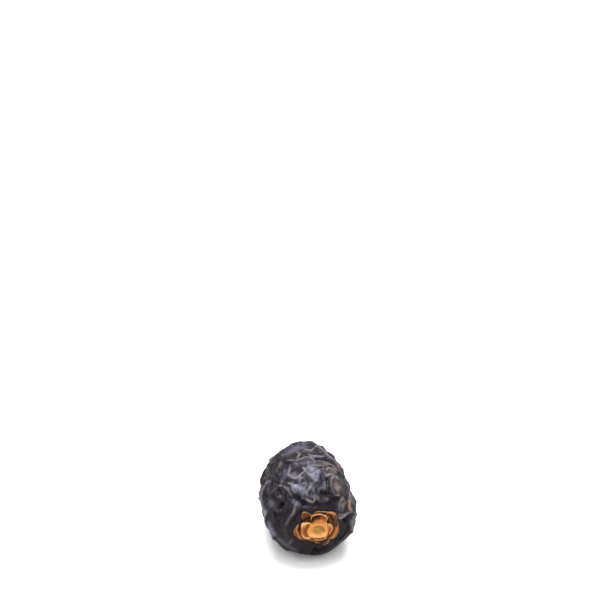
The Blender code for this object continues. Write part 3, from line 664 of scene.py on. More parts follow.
class Board:
    """Places and joins the nodes of one material, world or node group."""

    def __init__(self, tree: bpy.types.NodeTree) -> None:
        """Start on a node tree."""
        self.tree = tree

    def add(self, kind: str, **settings: object) -> bpy.types.Node:
        """A new node with its properties set.

        Args:
            kind: The node's type.
            settings: Its properties by name.

        Returns:
            The node.
        """
        node = self.tree.nodes.new(kind)
        for name, value in settings.items():
            setattr(node, name, value)
        return node

    def join(self, output: bpy.types.NodeSocket, target: bpy.types.NodeSocket) -> None:
        """A link from an output to an input."""
        self.tree.links.new(output, target)

    def feed(self, target: bpy.types.NodeSocket, value: object) -> None:
        """Set an input from a number, a colour or an output.

        Args:
            target: The input.
            value: What it gets.
        """
        if isinstance(value, bpy.types.NodeSocket):
            self.join(value, target)
        else:
            target.default_value = value

    def mix(self, share: object, first: object, second: object) -> bpy.types.NodeSocket:
        """A colour between two colours.

        Args:
            share: How much of the second.
            first: One colour.
            second: The other.

        Returns:
            The mixed colour.
        """
        node = self.add("ShaderNodeMix", data_type="RGBA")
        self.feed(node.inputs["Factor"], share)
        self.feed(node.inputs["A"], first)
        self.feed(node.inputs["B"], second)
        return node.outputs["Result"]

    def reckon(self, operation: str, first: object, second: object) -> bpy.types.NodeSocket:
        """What a Math node makes of two numbers.

        Args:
            operation: What it does.
            first: One number.
            second: The other.

        Returns:
            The outcome.
        """
        node = self.add("ShaderNodeMath", operation=operation)
        self.feed(node.inputs[0], first)
        self.feed(node.inputs[1], second)
        return node.outputs[0]

    def times(self, first: object, second: object) -> bpy.types.NodeSocket:
        """Two numbers multiplied."""
        return self.reckon("MULTIPLY", first, second)

    def ramp(self, value: object, source: Pair, target: Pair) -> bpy.types.NodeSocket:
        """A value spread from one range to another, with soft ends.

        Args:
            value: The value.
            source: The range that it comes in.
            target: The range that it gets.

        Returns:
            The new value.
        """
        node = self.add("ShaderNodeMapRange", interpolation_type="SMOOTHSTEP")
        self.feed(node.inputs["Value"], value)
        labels = ("From Min", "From Max", "To Min", "To Max")
        for label, limit in zip(labels, (*source, *target)):
            node.inputs[label].default_value = limit
        return node.outputs["Result"]

    def coats(self, base: object, coats: tuple[tuple[object, Colour], ...]) -> bpy.types.NodeSocket:
        """A colour painted over with others in turn.

        Args:
            base: The first colour.
            coats: Each next one's share and colour.

        Returns:
            The colour on top.
        """
        for share, colour in coats:
            base = self.mix(share, base, colour)
        return base

    def attribute(self, name: str) -> bpy.types.NodeSocket:
        """A number that the piece's own points carry."""
        return self.add("ShaderNodeAttribute", attribute_name=name).outputs["Fac"]


def new_group(name: str, inputs: dict[str, float], outputs: tuple[str, ...]) -> bpy.types.NodeTree:
    """An empty shader group with number sockets.

    Args:
        name: The group's name.
        inputs: Input names with their plain values.
        outputs: Output names.

    Returns:
        The group with its two end nodes.
    """
    group = bpy.data.node_groups.new(name, "ShaderNodeTree")
    for label, value in inputs.items():
        socket = group.interface.new_socket(label, in_out="INPUT", socket_type="NodeSocketFloat")
        socket.default_value = value
    for label in outputs:
        group.interface.new_socket(label, in_out="OUTPUT", socket_type="NodeSocketFloat")
    group.nodes.new("NodeGroupInput")
    group.nodes.new("NodeGroupOutput")
    return group


def mottle_group() -> bpy.types.NodeTree:
    """A patchy mask from noise, shared by skin, petals and cup.

    Returns:
        The group.
    """
    group = new_group("mottle", {"Scale": 200.0, "Seed": 0.0, "Low": 0.4, "High": 0.6}, ("Mask",))
    board = Board(group)
    entry = group.nodes["Group Input"]
    place = board.add("ShaderNodeTexCoord")
    noise = board.add("ShaderNodeTexNoise", noise_dimensions="4D")
    noise.inputs["Detail"].default_value = 5.0
    noise.inputs["Roughness"].default_value = 0.6
    spread = board.add("ShaderNodeMapRange", interpolation_type="SMOOTHSTEP")
    for output, target in (
        (place.outputs["Object"], noise.inputs["Vector"]),
        (entry.outputs["Scale"], noise.inputs["Scale"]),
        (entry.outputs["Seed"], noise.inputs["W"]),
        (noise.outputs["Fac"], spread.inputs["Value"]),
        (entry.outputs["Low"], spread.inputs["From Min"]),
        (entry.outputs["High"], spread.inputs["From Max"]),
        (spread.outputs["Result"], group.nodes["Group Output"].inputs["Mask"]),
    ):
        board.join(output, target)
    return group


def grain_group() -> bpy.types.NodeTree:
    """Height of a fine grain: small cells over fine noise.

    Returns:
        The group.
    """
    group = new_group("grain", {"Scale": 2500.0, "Cells": 0.5}, ("Height",))
    board = Board(group)
    entry = group.nodes["Group Input"]
    place = board.add("ShaderNodeTexCoord")
    noise = board.add("ShaderNodeTexNoise")
    noise.inputs["Detail"].default_value = 4.0
    cells = board.add("ShaderNodeTexVoronoi", feature="SMOOTH_F1")
    for texture in (noise, cells):
        board.join(place.outputs["Object"], texture.inputs["Vector"])
        board.join(entry.outputs["Scale"], texture.inputs["Scale"])
    share = board.times(cells.outputs["Distance"], entry.outputs["Cells"])
    height = board.reckon("ADD", noise.outputs["Fac"], share)
    board.join(height, group.nodes["Group Output"].inputs["Height"])
    return group


@dataclass(frozen=True)
class Patches:
    """A patchy mask's settings.

    Attributes:
        scale: Patches a metre.
        seed: Which pattern.
        low: Noise up to which the mask is 0.
        high: Noise from which it is 1.
    """

    scale: float
    seed: float
    low: float
    high: float


@dataclass(frozen=True)
class Grain:
    """A fine grain's settings.

    Attributes:
        scale: Grains a metre.
        cells: How much of it is small cells.
        depth: Its relief in metres.
        strength: How strongly it shows.
    """

    scale: float
    cells: float
    depth: float
    strength: float


@dataclass(frozen=True)
class Groups:
    """The shared node groups."""

    mottle: bpy.types.NodeTree
    grain: bpy.types.NodeTree

    def mask(self, board: Board, patches: Patches) -> bpy.types.NodeSocket:
        """A patchy mask placed in a material.

        Args:
            board: The material's board.
            patches: The mask's settings.

        Returns:
            The mask.
        """
        node = board.add("ShaderNodeGroup", node_tree=self.mottle)
        for label in ("Scale", "Seed", "Low", "High"):
            node.inputs[label].default_value = getattr(patches, label.lower())
        return node.outputs["Mask"]

    def normal(self, board: Board, grain: Grain) -> bpy.types.NodeSocket:
        """A normal from a fine grain placed in a material.

        Args:
            board: The material's board.
            grain: The grain's settings.

        Returns:
            The normal.
        """
        node = board.add("ShaderNodeGroup", node_tree=self.grain)
        node.inputs["Scale"].default_value = grain.scale
        node.inputs["Cells"].default_value = grain.cells
        relief = board.add("ShaderNodeBump")
        relief.inputs["Distance"].default_value = grain.depth
        relief.inputs["Strength"].default_value = grain.strength
        board.join(node.outputs["Height"], relief.inputs["Height"])
        return relief.outputs["Normal"]


def fresh_material(name: str) -> tuple[bpy.types.Material, Board, bpy.types.Node]:
    """A new material with its board and its Principled shader.

    Args:
        name: The material's name.

    Returns:
        The material, its board and its shader.
    """
    material = bpy.data.materials.new(name)
    material.use_nodes = True
    return material, Board(material.node_tree), material.node_tree.nodes["Principled BSDF"]


@dataclass(frozen=True)
class SkinFinish:
    """Waxy near-black skin: violet and brown patches, crests painted paler (partly rubbed wear, partly
    painted highlight), bloom partly painted as highlight, painted shade on bare skin, dust and a few specks.
    """

    dark: Colour = (0.0040, 0.0034, 0.0052, 1.0)
    brown: Colour = (0.0120, 0.0062, 0.0056, 1.0)
    haze: Colour = (0.0180, 0.0165, 0.0270, 1.0)
    # Pale crest lines: partly rubbed wear, partly painted highlight
    crest: Colour = (0.212, 0.186, 0.198, 1.0)
    # Bluish bloom colour, partly a painted highlight on lit lobes and facets
    bloom_and_highlight: Colour = (0.210, 0.205, 0.288, 1.0)
    dust: Colour = (0.182, 0.146, 0.118, 1.0)
    amber: Colour = (0.300, 0.150, 0.080, 1.0)
    powder: Colour = (0.064, 0.056, 0.066, 1.0)
    speck: Colour = (0.380, 0.250, 0.130, 1.0)
    brown_patches: Patches = Patches(170.0, 1.0, 0.42, 0.66)
    haze_patches: Patches = Patches(260.0, 5.0, 0.45, 0.70)
    coarse_patches: Patches = Patches(420.0, 11.0, 0.30, 0.62)
    fine_patches: Patches = Patches(1100.0, 9.0, 0.34, 0.62)
    powder_patches: Patches = Patches(1500.0, 17.0, 0.46, 0.72)
    speck_patches: Patches = Patches(900.0, 14.0, 0.66, 0.71)
    dull_patches: Patches = Patches(500.0, 3.0, 0.35, 0.65)
    thin_share: float = 0.85
    haze_share: float = 0.6
    # How strongly the painted shade darkens the bare skin
    bare_shade_share: float = 0.8
    bloom_and_highlight_range: Pair = (0.25, 0.75)
    dust_range: Pair = (0.25, 0.85)
    crest_wear_and_highlight_range: Pair = (0.30, 0.90)
    roughness: Pair = (0.38, 0.54)
    dust_roughness: float = 0.15
    specular: float = 0.12
    specular_tint: Colour = (1.0, 0.90, 1.0, 1.0)
    coat_weight: Pair = (0.28, 0.02)
    coat_roughness: float = 0.40
    grain: Grain = Grain(2600.0, 0.7, 0.05 * MM, 0.7)

    def material(self, groups: Groups) -> bpy.types.Material:
        """The finish as a material.

        Args:
            groups: The shared node groups.

        Returns:
            The material.
        """
        material, board, shader = fresh_material("date_skin")
        coarse = groups.mask(board, self.coarse_patches)
        fine = groups.mask(board, self.fine_patches)
        bloom_and_highlight_share = board.times(board.attribute("bloom_and_highlight"), board.ramp(coarse, WHOLE, self.bloom_and_highlight_range))
        dust_share = board.times(board.attribute("dust"), board.ramp(fine, WHOLE, self.dust_range))
        crest_wear_and_highlight = board.times(board.attribute("crest"), board.ramp(coarse, WHOLE, self.crest_wear_and_highlight_range))
        colour = board.coats(self.dark, (
            (groups.mask(board, self.brown_patches), self.brown),
            (board.times(board.attribute("thin"), self.thin_share), self.brown),
            (board.times(groups.mask(board, self.haze_patches), self.haze_share), self.haze),
            (board.times(groups.mask(board, self.powder_patches), board.attribute("rough")), self.powder),
            # Bloom, partly painted highlight on lit lobes and facets
            (bloom_and_highlight_share, self.bloom_and_highlight),
            (dust_share, self.dust),
            # Crest lines, partly rubbed wear, partly painted highlight
            (crest_wear_and_highlight, self.crest),
            # Painted shade: beside and under lobes, in pits, low down
            (board.times(board.attribute("bare_shade"), self.bare_shade_share), self.dark),
            (board.attribute("amber"), self.amber),
            (board.times(groups.mask(board, self.speck_patches), board.attribute("speckled")), self.speck),
        ))
        board.join(colour, shader.inputs["Base Color"])
        rough = board.ramp(groups.mask(board, self.dull_patches), WHOLE, self.roughness)
        rough = board.reckon("ADD", rough, board.times(dust_share, self.dust_roughness))
        board.join(rough, shader.inputs["Roughness"])
        # Less coat where the shade is painted
        coat = board.ramp(board.attribute("bare_shade"), WHOLE, self.coat_weight)
        board.join(coat, shader.inputs["Coat Weight"])
        shader.inputs["Specular IOR Level"].default_value = self.specular
        shader.inputs["Specular Tint"].default_value = self.specular_tint
        shader.inputs["Coat Roughness"].default_value = self.coat_roughness
        board.join(groups.normal(board, self.grain), shader.inputs["Normal"])
        return material


@dataclass(frozen=True)
class PetalFinish:
    """Dry papery petals: brown-orange, with painted shade in dark red-brown in the folds and next to the
    cup, lighter orange partly as painted light, straw-coloured at the rims.
    """

    body: Colour = (0.150, 0.052, 0.015, 1.0)
    warm: Colour = (0.220, 0.082, 0.022, 1.0)
    # Lighter orange on raised folds, partly painted light on the lit lobe and corner
    light: Colour = (0.520, 0.210, 0.060, 1.0)
    # Painted shade in folds, grooves and next to the cup
    dark: Colour = (0.026, 0.007, 0.004, 1.0)
    pale: Colour = (0.330, 0.215, 0.085, 1.0)
    warm_patches: Patches = Patches(420.0, 2.0, 0.38, 0.64)
    pale_patches: Patches = Patches(620.0, 12.0, 0.30, 0.60)
    pale_range: Pair = (0.45, 1.0)
    dull_patches: Patches = Patches(800.0, 6.0, 0.35, 0.65)
    roughness: Pair = (0.48, 0.68)
    specular: float = 0.30
    grain: Grain = Grain(1500.0, 0.4, 0.05 * MM, 0.6)

    def material(self, groups: Groups) -> bpy.types.Material:
        """The finish as a material.

        Args:
            groups: The shared node groups.

        Returns:
            The material.
        """
        material, board, shader = fresh_material("dry_petal")
        straw = board.reckon("MAXIMUM", board.attribute("rim"), board.attribute("pale"))
        patches = board.ramp(groups.mask(board, self.pale_patches), WHOLE, self.pale_range)
        colour = board.coats(self.body, (
            (groups.mask(board, self.warm_patches), self.warm),
            # Lighter orange, partly painted light
            (board.attribute("light"), self.light),
            # Painted shade
            (board.attribute("dark"), self.dark),
            (board.times(straw, patches), self.pale),
        ))
        board.join(colour, shader.inputs["Base Color"])
        rough = board.ramp(groups.mask(board, self.dull_patches), WHOLE, self.roughness)
        board.join(rough, shader.inputs["Roughness"])
        shader.inputs["Specular IOR Level"].default_value = self.specular
        board.join(groups.normal(board, self.grain), shader.inputs["Normal"])
        return material


@dataclass(frozen=True)
class CupFinish:
    """Waxy orange cup: pale lips, painted shade in the red-brown pockets and on the back, an olive-gold
    scar.
    """

    body: Colour = (0.800, 0.350, 0.072, 1.0)
    warm: Colour = (0.700, 0.260, 0.052, 1.0)
    # Red-brown tone, and a painted reddish glint on the top lobe
    red: Colour = (0.400, 0.105, 0.025, 1.0)
    # Pale lips, and painted light on the raised middle's lower part
    pale: Colour = (0.860, 0.510, 0.215, 1.0)
    # Painted shade: pockets, grooves, under rims, the back
    dark: Colour = (0.032, 0.009, 0.003, 1.0)
    scar: Colour = (0.480, 0.250, 0.052, 1.0)
    warm_patches: Patches = Patches(380.0, 4.0, 0.40, 0.66)
    dull_patches: Patches = Patches(900.0, 8.0, 0.35, 0.65)
    roughness: Pair = (0.42, 0.60)
    specular: float = 0.35
    grain: Grain = Grain(1700.0, 0.3, 0.04 * MM, 0.5)

    def material(self, groups: Groups) -> bpy.types.Material:
        """The finish as a material.

        Args:
            groups: The shared node groups.

        Returns:
            The material.
        """
        material, board, shader = fresh_material("calyx")
        coats = [(groups.mask(board, self.warm_patches), self.warm)]
        for name in ("red", "scar", "pale", "dark"):
            coats.append((board.attribute(name), getattr(self, name)))
        board.join(board.coats(self.body, tuple(coats)), shader.inputs["Base Color"])
        rough = board.ramp(groups.mask(board, self.dull_patches), WHOLE, self.roughness)
        board.join(rough, shader.inputs["Roughness"])
        shader.inputs["Specular IOR Level"].default_value = self.specular
        board.join(groups.normal(board, self.grain), shader.inputs["Normal"])
        return material


def deselect() -> None:
    """Deselect everything, before a primitive is added or a piece is picked."""
    bpy.ops.object.select_all(action="DESELECT")


def named(name: str) -> bpy.types.Object:
    """The active piece, with its own and its mesh's name set.

    Args:
        name: The new name.

    Returns:
        The piece.
    """
    piece = bpy.context.object
    piece.name = name
    piece.data.name = name
    return piece


def set_places(piece: bpy.types.Object, places: np.ndarray) -> None:
    """Move all points of a piece to new places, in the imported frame."""
    piece.data.vertices.foreach_set("co", np.ascontiguousarray(places, dtype=np.float32).ravel())
    piece.data.update()


def get_places(piece: bpy.types.Object) -> np.ndarray:
    """The places of all points of a piece.

    Args:
        piece: The piece.

    Returns:
        One row of coordinates each.
    """
    places = np.empty(len(piece.data.vertices) * 3, dtype=np.float32)
    piece.data.vertices.foreach_get("co", places)
    return places.reshape(-1, 3).astype(float)


def set_number(piece: bpy.types.Object, name: str, values: np.ndarray) -> None:
    """Give each point of a piece a number that its material reads."""
    layer = piece.data.attributes.new(name, "FLOAT", "POINT")
    layer.data.foreach_set("value", np.ascontiguousarray(values, dtype=np.float32))


def face_outwards() -> None:
    """Turn the active piece's faces outwards."""
    bpy.ops.object.mode_set(mode="EDIT")
    bpy.ops.mesh.select_all(action="SELECT")
    bpy.ops.mesh.normals_make_consistent(inside=False)
    bpy.ops.object.mode_set(mode="OBJECT")


def shade_smooth(piece: bpy.types.Object) -> None:
    """Smooth shading all over one piece.

    Args:
        piece: The piece.
    """
    deselect()
    piece.select_set(True)
    bpy.context.view_layer.objects.active = piece
    bpy.ops.object.shade_smooth()


@dataclass
class FruitSkin:
    """The wrinkled fruit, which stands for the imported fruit."""

    form: DateForm
    cap: CapOutline
    shift: np.ndarray
    first_cuts: int = 20
    second_cuts: int = 5
    # Meandering folds, and how deep the skin sinks between them
    big_folds: Folds = Folds(1.05 * MM, 6.0 * MM, 0.42, 61, 1.7, 0.50)
    small_folds: Folds = Folds(0.60 * MM, 3.5 * MM, 0.45, 83, 1.3, 0.60)
    fine_folds: Folds = Folds(0.14 * MM, 1.9 * MM, 0.45, 103, 1.2, 0.8)
    fine_heights: Pair = (-8.0 * MM, 2.0 * MM)
    pits: Folds = Folds(0.34 * MM, 2.4 * MM, 0.60, 127, 1.0, 0.9)
    free_level: float = 0.60 * MM
    free_start: Pair = (10.5 * MM, 15.5 * MM)
    # Drawn crests: their top, flanks and height, and how far they lean towards the cap
    rounding: float = 0.09 * MM
    flank: float = 1.9
    boost: float = 2.0
    sharpness: int = 4
    drawn_level: float = 0.40 * MM
    lean: float = 0.8
    lean_start: Pair = (7.0 * MM, 10.0 * MM)
    calm_start: Pair = (5.2 * MM, 8.5 * MM)
    lobes: Field = Field(11.0 * MM, 7, 21)
    lobe_rise: float = 0.35 * MM
    lobe_damping: float = 0.9
    # Where strokes and spots make the relief: turns all along, and turns of the longer crown
    drawn_rise: Pair = (-6.0, 16.0)
    drawn_fall: Pair = (197.0, 219.0)
    crown_rise: Pair = (18.0, 50.0)
    crown_fall: Pair = (128.0, 158.0)
    drawn_end: float = 30.0 * MM
    drawn_flank_end: float = 18.0 * MM
    drawn_fade: float = 2.5 * MM
    # The cap's seat, the collar round it and the puckers under it
    seat_inset: float = 0.30 * MM
    seat_step: float = 0.42 * MM
    collar_reach: float = 6.9
    collar_width: float = 1.3
    collar_rise: float = 0.30 * MM
    collar_top_rise: float = 0.30 * MM
    pucker_turns: tuple[float, ...] = (222, 231, 241, 252, 262, 273, 284, 297, 309)
    pucker_reach: Pair = (4.9, 7.6)
    pucker_rise: float = 0.16
    pucker_width: float = 0.34
    # Crest lines painted pale, partly rubbed wear and partly painted highlight, and the numbers that the
    # finish reads
    full_line: float = 0.45
    line_width: float = 0.26 * MM
    free_line: float = 0.55
    free_line_heights: Pair = (0.55 * MM, 0.95 * MM)
    thin_reach: float = 5.8
    thin_width: float = 1.3
    rough_rise: Pair = (108.0, 126.0)
    rough_fall: Pair = (178.0, 196.0)
    rough_field: Field = Field(8.0 * MM, 6, 41)
    rough_values: Pair = (-0.2, 0.9)
    rough_flank: float = 0.9
    rough_patches: float = 0.2
    least_specks: float = 0.15
    powder_heights: Pair = (-6.0 * MM, 6.0 * MM)
    least_powder: float = 0.15
    top_powder: float = 0.6

    def ball(self) -> bpy.types.Object:
        """A cube cut into even quads and rounded, its near side towards the stem end.

        Returns:
            The ball.
        """
        deselect()
        bpy.ops.mesh.primitive_cube_add(size=2.0, location=(0.0, 0.0, 0.0))
        piece = named("wrinkled_skin")
        bpy.ops.object.mode_set(mode="EDIT")
        bpy.ops.mesh.select_all(action="SELECT")
        bpy.ops.mesh.subdivide(number_cuts=self.first_cuts)
        bpy.ops.mesh.subdivide(number_cuts=self.second_cuts)
        bpy.ops.object.mode_set(mode="OBJECT")
        bulged = np.tan(get_places(piece) * math.pi / 4.0)
        set_places(piece, bulged / np.linalg.norm(bulged, axis=1, keepdims=True))
        return piece

    def stroke_distance(self, points: np.ndarray, stroke: Stroke) -> np.ndarray:
        """Distance from each point to a stroke."""
        turns, reaches = np.array(stroke.route, dtype=float).T
        return route_distance(points, self.form.points(turns, reaches * MM))

    def spot_shape(self, points: np.ndarray, spot: Spot) -> np.ndarray:
        """1 at a spot's middle, 0 from its edge on.

        Args:
            points: Places on the plain skin.
            spot: The spot.

        Returns:
            Its share at each place.
        """
        centre = self.form.points(np.array([spot.turn]), np.array([spot.reach * MM]))[0]
        part = np.linalg.norm(points - centre, axis=1) / (spot.radius * MM)
        return np.clip(1.0 - part * part, 0.0, None) ** 2

    def drawn_share(self, turns: np.ndarray, reaches: np.ndarray) -> np.ndarray:
        """1 where strokes and spots make the relief, 0 where the meandering folds do.

        Args:
            turns: Turns of the places.
            reaches: Their reaches.

        Returns:
            The share at each place.
        """
        wrapped = unrolled(turns)
        crown = between(self.crown_rise, self.crown_fall, wrapped)
        end = self.drawn_flank_end + (self.drawn_end - self.drawn_flank_end) * crown
        share = between(self.drawn_rise, self.drawn_fall, wrapped)
        return share * (1.0 - smooth_step(end - self.drawn_fade, end + self.drawn_fade, reaches))

    def puckers(self) -> list[Stroke]:
        """Short radial crests of the skin under the cap.

        Returns:
            One crest a pucker.
        """
        low, high = self.pucker_reach
        return [crest(self.pucker_rise, self.pucker_width, (turn, low), (turn + 3, high))
                for turn in self.pucker_turns]

    def socket_and_collar(self, points: np.ndarray, turns: np.ndarray,
                          reaches: np.ndarray) -> tuple[np.ndarray, np.ndarray]:
        """The seat of the cap and the skin's collar round it.

        Args:
            points: Places on the plain skin.
            turns: Their turns.
            reaches: Their reaches.

        Returns:
            Rise along the normal, and the share of each place that is seat.
        """
        cap_turns, radii = self.cap.polar(points)
        edge = self.cap.radius(cap_turns) - self.seat_inset
        front = points[:, 1] < 0.0
        inside = (1.0 - smooth_step(edge, edge + self.seat_step, radii)) * front
        pole_gap = points[:, 1] + 0.5 * self.form.length
        seat = self.cap.seat_depth - self.cap.out(radii) - pole_gap
        round_cap = soft_line(reaches / MM - self.collar_reach, self.collar_width)
        topside = 0.5 + 0.5 * np.sin(np.radians(turns))
        collar = (self.collar_rise + self.collar_top_rise * topside ** 2) * round_cap * front
        return collar * (1.0 - inside) - seat * inside, inside

    def relief(self, points: np.ndarray, turns: np.ndarray,
               reaches: np.ndarray) -> tuple[np.ndarray, np.ndarray]:
        """Rise of the skin over its plain form, and the crests' share of it.

        Args:
            points: Places on the plain skin.
            turns: Their turns.
            reaches: Their reaches.

        Returns:
            The whole rise and the crests' own.
        """
        drawn = self.drawn_share(turns, reaches)
        calm = smooth_step(*self.calm_start, reaches)
        free = (1.0 - drawn) * smooth_step(*self.free_start, reaches)
        crests = np.zeros(len(points))
        for folds in (self.big_folds, self.small_folds):
            crests += (folds.rise(points) * free) ** self.sharpness
        creases = np.zeros(len(points))
        for stroke in (*STROKES, *self.puckers()):
            distance = self.stroke_distance(points, stroke)
            if stroke.mark is Mark.CREST:
                shape = crest_shape(distance, self.flank * stroke.width * MM, self.rounding)
                crests += (self.boost * stroke.size * MM * shape) ** self.sharpness
            else:
                creases += self.boost * stroke.size * MM * soft_line(distance, stroke.width * MM)
        crests = crests ** (1.0 / self.sharpness)
        rise = crests - creases
        rise -= self.drawn_level * drawn * calm + self.free_level * free
        for spot in SPOTS:
            sign = 1.0 if spot.mark is Mark.BUMP else -1.0
            rise += sign * spot.size * MM * self.spot_shape(points, spot)
        rise += self.lobe_rise * self.lobes.at(points) * (1.0 - self.lobe_damping * drawn) * calm
        rise += self.fine_folds.rise(points) * calm * smooth_step(*self.fine_heights, points[:, 2])
        rise -= self.pits.rise(points) * self.rough_share(points, turns) * calm
        return rise, crests

    def crest_lines(self, points: np.ndarray) -> np.ndarray:
        """1 on the drawn crests' lines, fading within a fraction of a millimetre.

        Args:
            points: Places on the plain skin.

        Returns:
            The share at each place.
        """
        lines = np.zeros(len(points))
        for stroke in STROKES:
            if stroke.mark is Mark.CREST:
                strength = min(1.0, stroke.size / self.full_line)
                fading = soft_line(self.stroke_distance(points, stroke), self.line_width)
                lines = np.maximum(lines, strength * fading)
        return lines

    def marking(self, points: np.ndarray, mark: Mark) -> np.ndarray:
        """How strong one kind of marking is at each point.

        Args:
            points: Places on the plain skin.
            mark: The kind.

        Returns:
            Its strength, 0 to 1.
        """
        share = np.zeros(len(points))
        for stroke in MARKINGS:
            if stroke.mark is mark:
                fading = soft_line(self.stroke_distance(points, stroke), stroke.width * MM)
                share = np.maximum(share, stroke.size * fading)
        return share

    def rough_share(self, points: np.ndarray, turns: np.ndarray) -> np.ndarray:
        """How pitted each place is: most on the left flank, patchy elsewhere.

        Args:
            points: Places on the plain skin.
            turns: Their turns.

        Returns:
            The share, 0 to 1.
        """
        flank = between(self.rough_rise, self.rough_fall, unrolled(turns))
        patches = smooth_step(*self.rough_values, self.rough_field.at(points))
        return np.clip(self.rough_flank * flank + self.rough_patches * patches, 0.0, 1.0)

    def build(self) -> bpy.types.Object:
        """Spread the ball over the date's form, raise its relief and press its resting spot.

        Returns:
            The finished skin with the numbers that its finish reads.
        """
        piece = self.ball()
        ball = get_places(piece)
        turns = np.degrees(np.arctan2(ball[:, 2], ball[:, 0]))
        reaches = self.form.reach_on_ball(np.arccos(np.clip(-ball[:, 1], -1.0, 1.0)))
        points = self.form.points(turns, reaches)
        rise, crests = self.relief(points, turns, reaches)
        seat, inside = self.socket_and_collar(points, turns, reaches)
        outside = 1.0 - inside
        behind_cap = smooth_step(*self.lean_start, reaches)
        normals = self.form.normals(turns, reaches)
        raised = points + normals * (rise * outside + seat)[:, None]
        along = np.array([0.0, -1.0, 0.0]) - normals * (-normals[:, 1])[:, None]
        raised += along * (self.lean * crests * outside * behind_cap)[:, None]
        places = raised + self.shift
        places[:, 2] = np.maximum(places[:, 2], 0.0)
        set_places(piece, places)
        # Pale crest lines: partly rubbed wear, partly painted highlight
        free_lines = self.free_line * smooth_step(*self.free_line_heights, crests)
        free_lines *= 1.0 - self.drawn_share(turns, reaches)
        set_number(piece, "crest", np.maximum(self.crest_lines(points), free_lines) * outside)
        # Bloom (partly painted highlight), dust, amber, and bare skin (painted shade)
        for mark in (Mark.BLOOM, Mark.DUST, Mark.AMBER, Mark.BARE):
            set_number(piece, mark.value, self.marking(points, mark))
        set_number(piece, "thin", soft_line(reaches / MM - self.thin_reach, self.thin_width))
        set_number(piece, "speckled", np.clip(self.rough_share(points, turns), self.least_specks, 1.0))
        topside = smooth_step(*self.powder_heights, points[:, 2]) * behind_cap
        set_number(piece, "rough", self.least_powder + self.top_powder * topside)
        shade_smooth(piece)
        return piece

    def dress(self, piece: bpy.types.Object, groups: Groups) -> None:
        """Give the skin its finish and its place in the frame.

        Args:
            piece: The skin.
            groups: The shared node groups.
        """
        piece.data.materials.append(SkinFinish().material(groups))
        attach(piece, "root")
        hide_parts("date_fruit")


class Tint(Enum):
    """What a mark on the cap does to the colour there."""

    # Painted shade of folds, grooves, pockets and the undersides of rims
    DARK = "dark"
    # Lighter orange, partly painted light
    LIGHT = "light"
    PALE = "pale"
    RED = "red"


@dataclass(frozen=True)
class CapMark:
    """A fold, a groove or a band on the petals or the cup, with its tint.

    Attributes:
        rise: Height in millimetres; below 0 for a valley.
        width: Its half width in millimetres.
        tint: Its tint.
        strength: How strong the tint is.
        route: Its corners as (turn, radius in millimetres) about the cap's axis.
    """

    rise: float
    width: float
    tint: Tint
    strength: float
    route: tuple[Pair, ...]

    def share(self, places: np.ndarray) -> np.ndarray:
        """1 on the mark's line, fading to its sides.

        Args:
            places: Places across the cap, one pair each.

        Returns:
            The share at each place.
        """
        turns, radii = np.array(self.route, dtype=float).T
        return soft_line(route_distance(places, across_cap(turns, radii * MM)), self.width * MM)


def mark(rise: float, width: float, tint: Tint, strength: float, *route: Pair) -> CapMark:
    """A mark through the given places."""
    return CapMark(rise, width, tint, strength, route)


PETAL_MARKS = (
    # Right side: painted shade in the deep fold beside the cup and on the flank, painted light on the lower
    # lobe and corner
    mark(-0.30, 0.32, Tint.DARK, 1.00, (52, 4.2), (45, 4.2), (27, 3.85)),
    mark(-0.25, 0.32, Tint.DARK, 0.60, (27, 3.85), (6, 3.7), (-15, 3.8), (-32, 3.8), (-47, 3.7)),
    mark(-0.10, 0.40, Tint.DARK, 0.75, (33, 4.9), (20, 4.65), (6, 4.5)),
    mark(0.20, 0.38, Tint.LIGHT, 0.90, (-6, 4.4), (-21, 4.35), (-36, 4.45), (-46, 4.2)),
    mark(0.15, 0.26, Tint.LIGHT, 0.70, (58, 4.6), (46, 5.0), (36, 5.0)),
    # Painted shade under the cup's top rim and on the petal on its left
    mark(-0.15, 0.32, Tint.DARK, 1.00, (106, 3.9), (96, 4.05), (82, 3.95), (66, 4.1)),
    mark(-0.35, 0.50, Tint.DARK, 1.00, (152, 4.4), (141, 3.6), (125, 3.1)),
    mark(-0.35, 0.26, Tint.DARK, 1.00, (109, 3.6), (109, 4.6)),
    mark(0.12, 0.70, Tint.DARK, 0.42, (133, 5.1), (124, 5.2)),
    # Left side: painted shade in the fold and in the groove of the pale band
    mark(-0.25, 0.34, Tint.DARK, 1.00, (151, 4.2), (168, 4.3), (182, 4.35)),
    mark(-0.20, 0.26, Tint.DARK, 0.35, (182, 4.35), (198, 4.2), (211, 4.1)),
    mark(0.15, 0.22, Tint.LIGHT, 1.00, (168, 4.8), (181, 4.95), (195, 4.75), (210, 4.5)),
    mark(-0.10, 0.10, Tint.DARK, 0.45, (178, 5.2), (188, 5.15), (200, 4.9)),
    # Bottom: pink-brown left part, painted shade in the hollow, straw-coloured rim on the right
    mark(0.10, 0.30, Tint.LIGHT, 0.40, (232, 3.7), (248, 3.4), (262, 3.8)),
    mark(-0.25, 0.60, Tint.DARK, 1.00, (302, 3.6), (292, 4.05), (281, 4.2)),
    mark(-0.20, 0.22, Tint.DARK, 0.80, (318, 3.4), (310, 3.9), (310, 4.4)),
    mark(0.10, 0.28, Tint.PALE, 1.00, (309, 4.3), (304, 4.6), (298, 4.85)),
)

